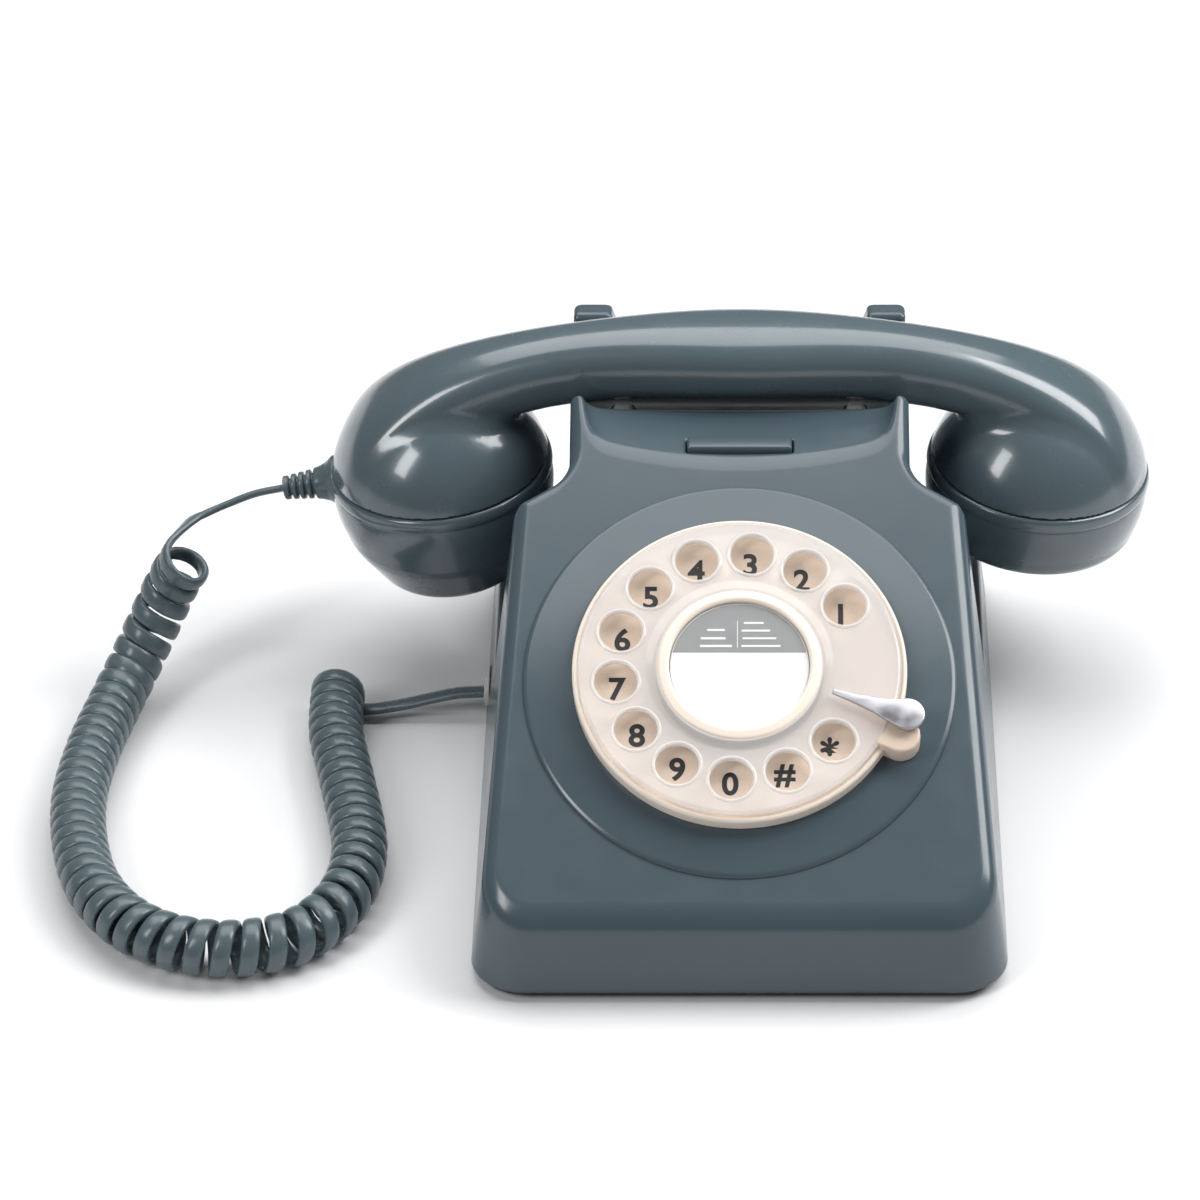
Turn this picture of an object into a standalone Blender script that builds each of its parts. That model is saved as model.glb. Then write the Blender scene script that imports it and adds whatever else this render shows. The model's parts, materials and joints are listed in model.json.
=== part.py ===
"""A rotary telephone: case, dial, cradle, handset, ringer and curly handset cord.

Units in this file are millimetres, turned into metres by MM when a mesh is made.
+X is to the right as the dial is faced, +Y is to the back, +Z is up.
The origin is on the surface that the telephone stands on, under its middle.
"""

import math

import bmesh
import bpy
from mathutils import Matrix, Vector

MM = 0.001
GAP = 0.3

# Case
BASE_HALF_WIDTH = 75.5
HALF_DEPTH = 104.0
BLOCK_HEIGHT = 112.0
SIDE_DRAFT = 0.132
END_DRAFT = 0.105
CORNER_RADIUS = 15.0
WALL = 2.6
CASE_BOTTOM = 2.9
FOLD_Y = -101.0
FOLD_Z = 27.3
SLOPE_DEG = 27.5
HORN_TOP = 104.0
HORN_DEPTH = 13.5
NECK_HALF_WIDTH = 49.0
LEDGE_Z = 23.5
SHOULDER_X = 63.7
SHOULDER_Y = 15.5

# Cradle
CRADLE_Y = 66.0
CRADLE_FLOOR = 93.2
CHANNEL_RADIUS = 20.8
CHANNEL_Z = 109.0
REAR_HORN_EXTRA = 8.1

# Dial, measured along the sloping face
DIAL_ALONG = 73.3
SURROUND_RADIUS = 61.2
SURROUND_HEIGHT = 1.2
WELL_RADIUS = 41.0
RING_RADIUS = 47.0
PLATE_RADIUS = 45.6
LABEL_RADIUS = 19.5
HOLE_RADIUS = 6.2
HOLE_CIRCLE = 35.0
HOLE_COUNT = 12
HOLE_PITCH_DEG = 26.0
FIRST_HOLE_DEG = 32.3
STOP_DEG = -19.0
MAIN_TEETH = 36
PINION_TEETH = 12
TOOTH_MODULE = 1.0

# Handset
CUP_X = 88.0
CUP_Z = 60.0
CUP_RADIUS = 33.0
CUP_TILT_DEG = 5.0
SEAM_HEIGHT = 7.0
SHELL_WALL = 3.0
HANDLE_HALF_SPAN = 108.5
HANDLE_RISE = 43.9
HANDLE_POWER = 2.2
HANDLE_HALF_HEIGHT = 11.0
HANDLE_MID_DEPTH = 15.0
HANDLE_NECK_DEPTH = 12.0
HANDLE_SIDES = 16
HANDLE_STATIONS = 20
HANDLE_END_DEG = 6.0

# Hook and press bar
PLUNGER_X = 34.0
PLUNGER_Y = 58.5
BAR_Y = 33.0
BAR_TOP = 95.2
BAR_HEIGHT = 6.4

# Ringer
GONG_X = 23.5
GONG_Y = 71.0
GONG_Z = 27.0
RINGER_Y = 38.0
CLAPPER_PIVOT_Y = 49.0

# Cord
STRAND_RADIUS = 2.2
COIL_RADIUS = 8.2

SLOPE = math.radians(SLOPE_DEG)
FACE_UP = Vector((0.0, math.cos(SLOPE), math.sin(SLOPE)))
DIAL_CENTRE = Vector((0.0, FOLD_Y, FOLD_Z)) + FACE_UP * DIAL_ALONG
DIAL_FRAME = Matrix.Translation(DIAL_CENTRE * MM) @ Matrix.Rotation(SLOPE, 4, "X")


def start_scene():
    for obj in list(bpy.data.objects):
        bpy.data.objects.remove(obj, do_unlink=True)
    parts = bpy.data.collections.new("rotary_telephone")
    cutters = bpy.data.collections.new("cutters")
    bpy.context.scene.collection.children.link(parts)
    bpy.context.scene.collection.children.link(cutters)
    return parts, cutters


PARTS, CUTTERS = start_scene()


def make_material(name, colour, roughness, metallic=0.0, alpha=1.0):
    mat = bpy.data.materials.new(name)
    mat.use_nodes = True
    shader = mat.node_tree.nodes["Principled BSDF"]
    shader.inputs["Base Color"].default_value = (*colour, 1.0)
    shader.inputs["Roughness"].default_value = roughness
    shader.inputs["Metallic"].default_value = metallic
    shader.inputs["Alpha"].default_value = alpha
    mat.diffuse_color = (*colour, alpha)
    return mat


BLUE_GREY = make_material("blue_grey_plastic", (0.15, 0.19, 0.21), 0.25)
CORD_GREY = make_material("cord_plastic", (0.12, 0.16, 0.18), 0.4)
CREAM = make_material("cream_plastic", (0.80, 0.70, 0.60), 0.35)
CLEAR = make_material("clear_plastic", (0.95, 0.93, 0.90), 0.05, alpha=0.35)
LABEL = make_material("label_card", (0.9, 0.9, 0.9), 0.6)
STEEL = make_material("steel", (0.55, 0.55, 0.57), 0.35, 1.0)
CHROME = make_material("chrome", (0.75, 0.75, 0.78), 0.15, 1.0)
BRASS = make_material("brass", (0.75, 0.58, 0.28), 0.3, 1.0)
BLACK = make_material("black_plastic", (0.02, 0.02, 0.02), 0.45)
RUBBER = make_material("rubber", (0.03, 0.03, 0.03), 0.8)
BOARD = make_material("board", (0.05, 0.22, 0.10), 0.5)
COPPER = make_material("copper_wire", (0.70, 0.32, 0.16), 0.4, 1.0)


def keep(obj, mat, smooth_deg=35.0):
    """Name the mesh, give it its material and put the object in the telephone's collection."""
    obj.data.name = obj.name
    obj.data.materials.clear()
    obj.data.materials.append(mat)
    for group in list(obj.users_collection):
        group.objects.unlink(obj)
    PARTS.objects.link(obj)
    if obj.type == "MESH":
        obj.data.shade_smooth()
        obj.data.set_sharp_from_angle(angle=math.radians(smooth_deg))
    return obj


def as_cutter(obj):
    for group in list(obj.users_collection):
        group.objects.unlink(obj)
    CUTTERS.objects.link(obj)
    obj.display_type = "WIRE"
    obj.hide_render = True
    return obj


def mesh_object(name, bm):
    """Turn a bmesh in millimetres into an object in metres."""
    bmesh.ops.scale(bm, vec=(MM, MM, MM), verts=bm.verts)
    bmesh.ops.recalc_face_normals(bm, faces=bm.faces)
    mesh = bpy.data.meshes.new(name)
    bm.to_mesh(mesh)
    bm.free()
    obj = bpy.data.objects.new(name, mesh)
    bpy.context.scene.collection.objects.link(obj)
    return obj


def box(name, size, centre, frame=None):
    bm = bmesh.new()
    bmesh.ops.create_cube(bm, size=1.0)
    bmesh.ops.scale(bm, vec=size, verts=bm.verts)
    bmesh.ops.translate(bm, vec=centre, verts=bm.verts)
    obj = mesh_object(name, bm)
    if frame is not None:
        obj.matrix_world = frame
    return obj


def cylinder(name, radius, low, high, centre=(0.0, 0.0), frame=None, sides=32, top_radius=None):
    """A cylinder or cone along its frame's Z from low to high."""
    bm = bmesh.new()
    top = radius if top_radius is None else top_radius
    bmesh.ops.create_cone(bm, cap_ends=True, segments=sides, radius1=radius, radius2=top, depth=high - low)
    bmesh.ops.translate(bm, vec=(centre[0], centre[1], (low + high) / 2.0), verts=bm.verts)
    obj = mesh_object(name, bm)
    if frame is not None:
        obj.matrix_world = frame
    return obj


def prism(name, outline, low, high, axis="Z", frame=None):
    """Extrude a closed outline along Z, or along Y or X with the outline in the other two axes."""
    bm = bmesh.new()
    if axis == "Z":
        corners = [bm.verts.new((u, v, low)) for u, v in outline]
    elif axis == "Y":
        corners = [bm.verts.new((u, low, v)) for u, v in outline]
    else:
        corners = [bm.verts.new((low, u, v)) for u, v in outline]
    step = {"Z": (0, 0, high - low), "Y": (0, high - low, 0), "X": (high - low, 0, 0)}[axis]
    face = bm.faces.new(corners)
    grown = bmesh.ops.extrude_face_region(bm, geom=[face])
    moved = [item for item in grown["geom"] if isinstance(item, bmesh.types.BMVert)]
    bmesh.ops.translate(bm, vec=step, verts=moved)
    obj = mesh_object(name, bm)
    if frame is not None:
        obj.matrix_world = frame
    return obj


def turned(name, profile, frame=None, steps=32):
    """Turn a closed profile of (radius, height) points about the frame's Z.

    The profile starts and ends on the axis, or is a loop that repeats its first point,
    and its outer side runs from top to bottom.
    """
    mesh = bpy.data.meshes.new(name)
    points = [(r * MM, 0.0, z * MM) for r, z in profile]
    edges = [(i, i + 1) for i in range(len(points) - 1)]
    if profile[0] == profile[-1]:
        points.pop()
        edges[-1] = (len(points) - 1, 0)
    mesh.from_pydata(points, edges, [])
    obj = bpy.data.objects.new(name, mesh)
    bpy.context.scene.collection.objects.link(obj)
    screw = obj.modifiers.new("turn", "SCREW")
    screw.steps = steps
    screw.render_steps = steps
    screw.use_merge_vertices = True
    screw.merge_threshold = 0.00001
    screw.use_smooth_shade = True
    if frame is not None:
        obj.matrix_world = frame
    return obj


def ball(name, radius, centre, segments=28, rings=14):
    bm = bmesh.new()
    bmesh.ops.create_uvsphere(bm, u_segments=segments, v_segments=rings, radius=radius)
    bmesh.ops.translate(bm, vec=centre, verts=bm.verts)
    return mesh_object(name, bm)


def loft(name, rings):
    """Join rings of the same number of points, and close both ends."""
    bm = bmesh.new()
    rows = [[bm.verts.new(point) for point in ring] for ring in rings]
    for lower, upper in zip(rows, rows[1:]):
        for i in range(len(lower)):
            j = (i + 1) % len(lower)
            bm.faces.new((lower[i], lower[j], upper[j], upper[i]))
    bm.faces.new(rows[0])
    bm.faces.new(rows[-1])
    return mesh_object(name, bm)


def boolean(obj, other, operation="DIFFERENCE"):
    as_cutter(other)
    mod = obj.modifiers.new(operation.lower(), "BOOLEAN")
    mod.operation = operation
    mod.object = other
    return obj


def applied(obj):
    """Replace an object by its evaluated mesh, so that it can be cut again or copied."""
    bpy.context.view_layer.update()
    graph = bpy.context.evaluated_depsgraph_get()
    mesh = bpy.data.meshes.new_from_object(obj.evaluated_get(graph))
    mesh.transform(obj.matrix_world)
    name = obj.name
    bpy.data.objects.remove(obj, do_unlink=True)
    fresh = bpy.data.objects.new(name, mesh)
    bpy.context.scene.collection.objects.link(fresh)
    return fresh


def tube(name, points, radius, mat, resolution=2):
    """A round bar along a poly spline with filled ends."""
    curve = bpy.data.curves.new(name, "CURVE")
    curve.dimensions = "3D"
    curve.bevel_depth = radius * MM
    curve.bevel_resolution = resolution
    curve.use_fill_caps = True
    spline = curve.splines.new("POLY")
    spline.points.add(len(points) - 1)
    for slot, point in zip(spline.points, points):
        slot.co = (point[0] * MM, point[1] * MM, point[2] * MM, 1.0)
    obj = bpy.data.objects.new(name, curve)
    PARTS.objects.link(obj)
    curve.materials.append(mat)
    return obj


def smooth_path(controls, count):
    """Points at even steps of a Catmull-Rom curve through the control points."""
    pts = [Vector(p) for p in controls]
    pts = [pts[0] * 2 - pts[1]] + pts + [pts[-1] * 2 - pts[-2]]
    dense = []
    for a, b, c, d in zip(pts, pts[1:], pts[2:], pts[3:]):
        for k in range(20):
            t = k / 20.0
            dense.append(0.5 * (2 * b + (c - a) * t + (2 * a - 5 * b + 4 * c - d) * t * t
                                + (3 * b - a - 3 * c + d) * t ** 3))
    dense.append(pts[-2])
    lengths = [0.0]
    for p, q in zip(dense, dense[1:]):
        lengths.append(lengths[-1] + (q - p).length)
    out = []
    for k in range(count):
        want = lengths[-1] * k / (count - 1)
        i = max(j for j, at in enumerate(lengths) if at <= want + 1e-9)
        i = min(i, len(dense) - 2)
        share = (want - lengths[i]) / max(lengths[i + 1] - lengths[i], 1e-9)
        out.append(dense[i].lerp(dense[i + 1], share))
    return out


def arc(centre, radius, start_deg, end_deg, count):
    """Points on an arc, both ends included."""
    out = []
    for k in range(count + 1):
        angle = math.radians(start_deg + (end_deg - start_deg) * k / count)
        out.append((centre[0] + radius * math.cos(angle), centre[1] + radius * math.sin(angle)))
    return out


def rounded_rectangle(half_x, low_y, high_y, radius, count=6):
    out = []
    out += arc((half_x - radius, low_y + radius), radius, -90, 0, count)
    out += arc((half_x - radius, high_y - radius), radius, 0, 90, count)
    out += arc((-half_x + radius, high_y - radius), radius, 90, 180, count)
    out += arc((-half_x + radius, low_y + radius), radius, 180, 270, count)
    return out


def half_width(z):
    return BASE_HALF_WIDTH - SIDE_DRAFT * z


# ---------------------------------------------------------------- case


def tapered_block(name, inset, low):
    """The case's outer block: a rounded rectangle that draws in as it rises."""
    levels = []
    for z in (low, BLOCK_HEIGHT):
        depth = HALF_DEPTH - END_DRAFT * z - inset
        ring = rounded_rectangle(half_width(z) - inset, -depth, depth, CORNER_RADIUS - inset)
        levels.append([(x, y, z) for x, y in ring])
    return loft(name, levels)


def above_face(name, inset):
    """Everything above the sloping face, and above the horns."""
    frame = Matrix.Translation(Vector((0, FOLD_Y, FOLD_Z)) * MM) @ Matrix.Rotation(SLOPE, 4, "X")
    return box(name, (200, 260, 120), (0, 100, 60 - inset), frame)


def scoop(name, side, inset):
    """The hollow behind a shoulder, in which one end of the handset hangs."""
    neck = NECK_HALF_WIDTH - inset
    back = SHOULDER_Y - inset
    fillet = 4.0
    outline = [(90.0, back - 11.0), (SHOULDER_X, back)]
    outline += arc((neck + fillet, back + 8.5 + fillet * 0.55), fillet, 238, 180, 5)
    outline += [(neck - 1.2, 120.0), (90.0, 120.0)]
    outline = [(side * x, y) for x, y in outline]
    return prism(name, outline, LEDGE_Z - inset, 130.0)


def bowl(name, inset, low_y, high_y, narrow):
    """The cradle's long hollow, seen along Y: nearly flat, and steep at the horns."""
    half = [(45.8, 104.5), (45.8, 101.0), (44.8, 98.6), (41.2, 96.6), (33.0, 94.7), (20.0, 93.6)]
    half = [(x - narrow * x / 45.8, z) for x, z in half]
    outline = [(x, z - inset) for x, z in half] + [(0.0, CRADLE_FLOOR - inset)]
    outline += [(-x, z - inset) for x, z in reversed(half)]
    edge = half[0][0]
    outline += [(-edge, 130.0), (edge, 130.0)]
    return prism(name, outline, low_y, high_y, axis="Y")


def channel(name, inset):
    """The round channel along X that the handle lies in."""
    frame = Matrix.Translation(Vector((0, CRADLE_Y, CHANNEL_Z)) * MM) @ Matrix.Rotation(math.pi / 2, 4, "Y")
    return cylinder(name, CHANNEL_RADIUS + inset, -70, 70, frame=frame, sides=40)


def carry_grip(name, inset):
    """The finger recess at the back, under the cradle."""
    return box(name, (66 + 2 * inset, 40, 24 + 2 * inset), (0, 103 - inset, 62))


def body_form(name, inset, low):
    """The case's form, or with an inset the space inside its wall."""
    form = tapered_block(name, inset, low)
    boolean(form, above_face(name + "_face_cut", inset))
    for side, label in ((-1, "left"), (1, "right")):
        boolean(form, scoop(name + "_scoop_" + label, side, inset))
    top = HORN_TOP - HORN_DEPTH if inset > 0 else HORN_TOP
    boolean(form, box(name + "_top_cut", (200, 260, 60), (0, 0, top + 30)))
    boolean(form, bowl(name + "_bowl", inset, 10.0, 80.0, 0.0))
    boolean(form, bowl(name + "_rear_bowl", inset, 79.0, 120.0, REAR_HORN_EXTRA))
    boolean(form, channel(name + "_channel", inset))
    boolean(form, carry_grip(name + "_grip", inset))
    return applied(form)


def build_case():
    case = body_form("case", 0.0, CASE_BOTTOM)
    surround = cylinder("surround", SURROUND_RADIUS, -2.0, SURROUND_HEIGHT, frame=DIAL_FRAME, sides=64,
                        top_radius=SURROUND_RADIUS - 0.9)
    boolean(case, surround, "UNION")
    case = applied(case)
    boolean(case, body_form("case_inside", WALL, -3.0))
    boolean(case, cylinder("dial_well", WELL_RADIUS, -20, 12, frame=DIAL_FRAME, sides=48))
    for side in (-1, 1):
        hole = cylinder("plunger_hole", 3.3, 70, 120, centre=(side * PLUNGER_X, PLUNGER_Y), sides=16)
        boolean(case, hole)
    boolean(case, box("bar_slot", (31.0, 6.8, 30), (0, BAR_Y, 95)))
    boolean(case, box("handset_socket_slot", (20, 13.2, 10.8), (-74, 27, 9.6)))
    boolean(case, box("line_socket_slot", (13.2, 20, 10.8), (30, 103, 9.6)))
    return keep(applied(case), BLUE_GREY, 30)


def build_base():
    outline = rounded_rectangle(73.6, -102.2, 102.2, 13.5, 5)
    plate = prism("base_plate", outline, 1.4, CASE_BOTTOM - GAP)
    for x in (-24.0, 24.0):
        boolean(plate, box("switch_slot", (12.0, 4.2, 10), (x, 40, 2)))
    for x in (-50.0, 50.0):
        boolean(plate, cylinder("screw_hole", 2.3, -5, 10, centre=(x, -70), sides=16))
    keep(applied(plate), BLACK)
    places = {"front_left": (-58, -86), "front_right": (58, -86), "rear_left": (-58, 86), "rear_right": (58, 86)}
    for label, (x, y) in places.items():
        foot = turned("foot_" + label, [(0, 1.1), (7.0, 1.1), (7.0, 0.5), (6.4, 0.0), (0, 0.0)], steps=20)
        foot.location = Vector((x, y, 0)) * MM
        keep(foot, RUBBER)
    for label, x in (("left", -50.0), ("right", 50.0)):
        screw = turned("case_screw_" + label, [(0, 13.0), (2.0, 13.0), (2.0, 1.1), (3.6, 1.1), (3.6, 0.4), (0, 0.4)],
                       steps=16)
        screw.location = Vector((x, -70, 0)) * MM
        keep(screw, STEEL)


# ---------------------------------------------------------------- dial


def hole_angle(index):
    return math.radians(FIRST_HOLE_DEG + HOLE_PITCH_DEG * index)


def gear(name, teeth, low, high, bore, centre=(0.0, 0.0), turn=0.0, frame=None):
    """A spur gear with straight-sided teeth and a round bore."""
    pitch = teeth * TOOTH_MODULE / 2.0
    tip = pitch + 0.75 * TOOTH_MODULE
    root = pitch - 0.95 * TOOTH_MODULE
    step = 2 * math.pi / teeth
    outline = []
    for k in range(teeth):
        middle = turn + k * step
        for radius, share in ((root, -0.31), (tip, -0.11), (tip, 0.11), (root, 0.31)):
            angle = middle + share * step
            outline.append((centre[0] + radius * math.cos(angle), centre[1] + radius * math.sin(angle)))
    obj = prism(name, outline, low, high, frame=frame)
    boolean(obj, cylinder(name + "_bore", bore, low - 1, high + 1, centre=centre, frame=frame, sides=16))
    return applied(obj)


TRAIN_X = -(MAIN_TEETH + PINION_TEETH) * TOOTH_MODULE / 2.0


def build_dial_fixed():
    """The pieces of the dial that stay still in the case."""
    profile = [(40.4, -0.4), (40.4, -24.0), (4.2, -24.0), (4.2, -22.0), (38.6, -22.0), (38.6, -0.4), (40.4, -0.4)]
    housing = turned("dial_housing", profile, DIAL_FRAME, 40)
    keep(housing, BLACK)
    outer = [(47.0, 6.9), (47.0, 2.2), (46.2, 1.6), (23.4, 1.6), (23.4, 4.6), (45.2, 4.6), (46.0, 6.9), (47.0, 6.9)]
    ring = turned("number_ring", outer, DIAL_FRAME, 56)
    ring = applied(ring)
    lug = box("ring_lug", (13, 11, 2.6), (RING_RADIUS + 0.5, 0, 3.1), DIAL_FRAME @ Matrix.Rotation(
        math.radians(STOP_DEG - 6), 4, "Z"))
    boolean(ring, lug, "UNION")
    keep(applied(ring), CREAM)
    build_finger_stop()


def build_finger_stop():
    """A flat steel finger over the plate, on a post outside the ring's rim."""
    turn = Matrix.Rotation(math.radians(STOP_DEG), 4, "Z")
    blade = [(27.5, -0.8), (40.0, -2.6), (47.0, -4.4)] + arc((49.5, 0.0), 4.7, -70, 70, 6)
    blade += [(47.0, 3.6), (38.0, 1.8), (27.5, 0.8)]
    stop = prism("finger_stop", blade, 10.6, 12.0, frame=DIAL_FRAME @ turn)
    post = box("stop_post", (2.2, 6.4, 6.4), (52.0, 0, 8.0), DIAL_FRAME @ turn)
    boolean(stop, post, "UNION")
    keep(applied(stop), CHROME)


def build_dial_moving():
    """The finger plate and everything that turns with it."""
    plate = turned("fingerplate", [(20.6, 9.2), (44.9, 9.2), (PLATE_RADIUS, 8.6), (PLATE_RADIUS, 7.9), (45.0, 7.3),
                                   (20.6, 7.3), (20.6, 9.2)], DIAL_FRAME, 56)
    plate = applied(plate)
    for index in range(HOLE_COUNT):
        angle = hole_angle(index)
        centre = (HOLE_CIRCLE * math.cos(angle), HOLE_CIRCLE * math.sin(angle))
        boolean(plate, cylinder("finger_hole", HOLE_RADIUS, 4, 12, centre=centre, frame=DIAL_FRAME, sides=18))
    keep(applied(plate), CLEAR)
    carrier = [(0, 8.2), (20.2, 8.2), (20.2, 6.0), (5.0, 6.0), (5.0, -16.0), (0, -16.0)]
    keep(turned("dial_shaft", carrier, DIAL_FRAME, 32), STEEL)
    keep(turned("dial_label", [(0, 8.9), (LABEL_RADIUS, 8.9), (LABEL_RADIUS, 8.5), (0, 8.5)], DIAL_FRAME, 40), LABEL)
    cover = [(0, 10.4), (14, 10.2), (LABEL_RADIUS, 9.8), (LABEL_RADIUS, 9.2), (0, 9.2)]
    keep(turned("label_cover", cover, DIAL_FRAME, 40), CLEAR)
    rim = [(19.8, 10.1), (22.4, 10.1), (23.4, 9.5), (20.2, 9.5), (20.2, 8.5), (19.8, 8.5), (19.8, 10.1)]
    keep(turned("label_ring", rim, DIAL_FRAME, 48), CREAM)
    main = gear("main_gear", MAIN_TEETH, -6.0, -4.0, 5.3, frame=DIAL_FRAME)
    keep(main, BRASS)
    cam = turned("impulse_cam", [(5.3, -7.0), (11.0, -7.0), (11.0, -9.0), (5.3, -9.0), (5.3, -7.0)], DIAL_FRAME, 32)
    cam = applied(cam)
    for k in range(10):
        angle = math.radians(60 + 24 * k)
        notch = box("cam_notch", (3.0, 1.8, 6), (11.2, 0, -8), DIAL_FRAME @ Matrix.Rotation(angle, 4, "Z"))
        boolean(cam, notch)
    keep(applied(cam), BLACK)
    build_mainspring()


def build_mainspring():
    """A flat spiral spring round the shaft, behind the cam."""
    turns = 4
    steps = 16 * turns
    inner = []
    outer = []
    for k in range(steps + 1):
        angle = 2 * math.pi * turns * k / steps
        radius = 6.2 + 1.9 * angle / (2 * math.pi)
        inner.append((radius * math.cos(angle), radius * math.sin(angle)))
        outer.append(((radius + 0.7) * math.cos(angle), (radius + 0.7) * math.sin(angle)))
    spring = prism("mainspring", outer + inner[::-1], -14.5, -10.5, frame=DIAL_FRAME)
    keep(spring, STEEL)


def build_train():
    """The intermediate shaft with its pinion and wheel, and the governor that it drives."""
    pinion = gear("train_pinion", PINION_TEETH, -6.4, -3.6, 1.6, centre=(TRAIN_X, 0.0),
                  turn=math.pi / PINION_TEETH, frame=DIAL_FRAME)
    keep(pinion, BRASS)
    shaft = turned("train_shaft", [(0, -1.6), (1.3, -1.6), (1.3, -21.4), (0, -21.4)],
                   DIAL_FRAME @ Matrix.Translation(Vector((TRAIN_X, 0, 0)) * MM), 16)
    keep(shaft, STEEL)
    wheel = gear("train_wheel", 20, -18.6, -17.0, 1.6, centre=(TRAIN_X, 0.0), frame=DIAL_FRAME)
    keep(wheel, BLACK)
    spin = DIAL_FRAME @ Matrix.Translation(Vector((TRAIN_X, -14.6, -17.8)) * MM) @ Matrix.Rotation(
        math.pi / 2, 4, "Y")
    worm = turned("governor", [(0, 12.0), (1.6, 12.0), (1.6, 6.0), (3.0, 6.0), (3.0, -5.0), (1.6, -5.0),
                               (1.6, -6.0), (3.6, -6.0), (3.6, -9.5), (0, -9.5)], spin, 20)
    keep(worm, STEEL)


# ---------------------------------------------------------------- hook and press bar


def build_hook():
    for side, label in ((-1, "left"), (1, "right")):
        plunger = turned("hook_plunger_" + label, [(0, 91.3), (1.8, 91.2), (2.9, 90.2), (2.9, 77.3), (0, 77.3)],
                         steps=20)
        plunger.location = Vector((side * PLUNGER_X, PLUNGER_Y, 0)) * MM
        keep(plunger, CLEAR)
    keep(box("hook_crossbar", (76.0, 7.0, 3.0), (0, PLUNGER_Y, 75.5)), BLACK)
    keep(box("hook_bracket", (30.0, 12.0, 2.0), (0, PLUNGER_Y, 60.0)), STEEL)
    keep(spring_sleeve("hook_spring", 3.2, 61.3, 73.7, (0, PLUNGER_Y)), STEEL)
    keep(box("hook_contacts", (16.0, 5.0, 9.0), (-26.0, PLUNGER_Y, 66.5)), BLACK)
    keep(box("press_bar", (30.2, 6.0, BAR_HEIGHT), (0, BAR_Y, BAR_TOP - BAR_HEIGHT / 2)), BLUE_GREY)
    keep(spring_sleeve("press_bar_spring", 2.2, 80.3, BAR_TOP - BAR_HEIGHT - GAP, (0, BAR_Y)), STEEL)
    keep(box("press_bar_bracket", (34.0, 9.0, 2.0), (0, BAR_Y, 79.0)), STEEL)


def spring_sleeve(name, radius, low, high, centre):
    """The outer form of a small coil spring."""
    profile = [(radius, high), (radius, low), (radius - 0.8, low), (radius - 0.8, high), (radius, high)]
    frame = Matrix.Translation(Vector((centre[0], centre[1], 0)) * MM)
    return turned(name, profile, frame, 16)


# ---------------------------------------------------------------- handset


def handle_point(angle):
    """The handle's centre line, a broad arch from ball to ball, and the way out of it, as (x, z) pairs."""
    share = 2.0 / HANDLE_POWER
    x = HANDLE_HALF_SPAN * math.copysign(abs(math.cos(angle)) ** share, math.cos(angle))
    z = HANDLE_RISE * math.sin(angle) ** share
    steep = HANDLE_POWER - 1.0
    out = Vector((math.copysign((abs(x) / HANDLE_HALF_SPAN) ** steep / HANDLE_HALF_SPAN, x),
                  (z / HANDLE_RISE) ** steep / HANDLE_RISE))
    return (x, CUP_Z + z), out.normalized()


def handle_depth(x):
    """Half of the handle's depth: full at the middle, slimmer beside it and flared at the balls."""
    u = abs(x) / 50.0
    depth = HANDLE_MID_DEPTH
    depth -= (HANDLE_MID_DEPTH - HANDLE_NECK_DEPTH) * math.sin(min(u, 1.0) * math.pi / 2) ** 2
    return depth + 6.5 * max(u - 1.0, 0.0) ** 2.17


def handle_ring(angle, inset):
    """One oval section across the handle's centre line."""
    (x, z), out = handle_point(angle)
    depth = handle_depth(x) - inset
    height = HANDLE_HALF_HEIGHT - inset
    ring = []
    for k in range(HANDLE_SIDES):
        turn = 2 * math.pi * k / HANDLE_SIDES
        rise = height * math.sin(turn)
        ring.append((x + out.x * rise, CRADLE_Y + depth * math.cos(turn), z + out.y * rise))
    return ring


def handle_loft(name, inset):
    start = math.radians(180.0 - HANDLE_END_DEG)
    end = math.radians(HANDLE_END_DEG)
    angles = [start + (end - start) * k / HANDLE_STATIONS for k in range(HANDLE_STATIONS + 1)]
    return loft(name, [handle_ring(angle, inset) for angle in angles])


def cup_frame(side):
    """A cup's own frame: at the ball's centre, with -Z the way the cap faces."""
    tilt = Matrix.Rotation(side * math.radians(CUP_TILT_DEG), 4, "Y")
    return Matrix.Translation(Vector((side * CUP_X, CRADLE_Y, CUP_Z)) * MM) @ tilt


def build_handset_shell():
    shell = handle_loft("handset_shell", 0.0)
    for side in (-1, 1):
        boolean(shell, ball("cup_outside", CUP_RADIUS, (side * CUP_X, CRADLE_Y, CUP_Z)), "UNION")
    shell = applied(shell)
    inside = handle_loft("handle_inside", SHELL_WALL)
    for side in (-1, 1):
        boolean(inside, ball("cup_inside", CUP_RADIUS - SHELL_WALL, (side * CUP_X, CRADLE_Y, CUP_Z), 22, 11), "UNION")
    inside = applied(inside)
    boolean(shell, inside)
    for side in (-1, 1):
        below = box("below_seam", (90, 90, 60), (0, 0, SEAM_HEIGHT - 30), cup_frame(side))
        boolean(shell, below)
    return keep(applied(shell), BLUE_GREY, 40)


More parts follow.
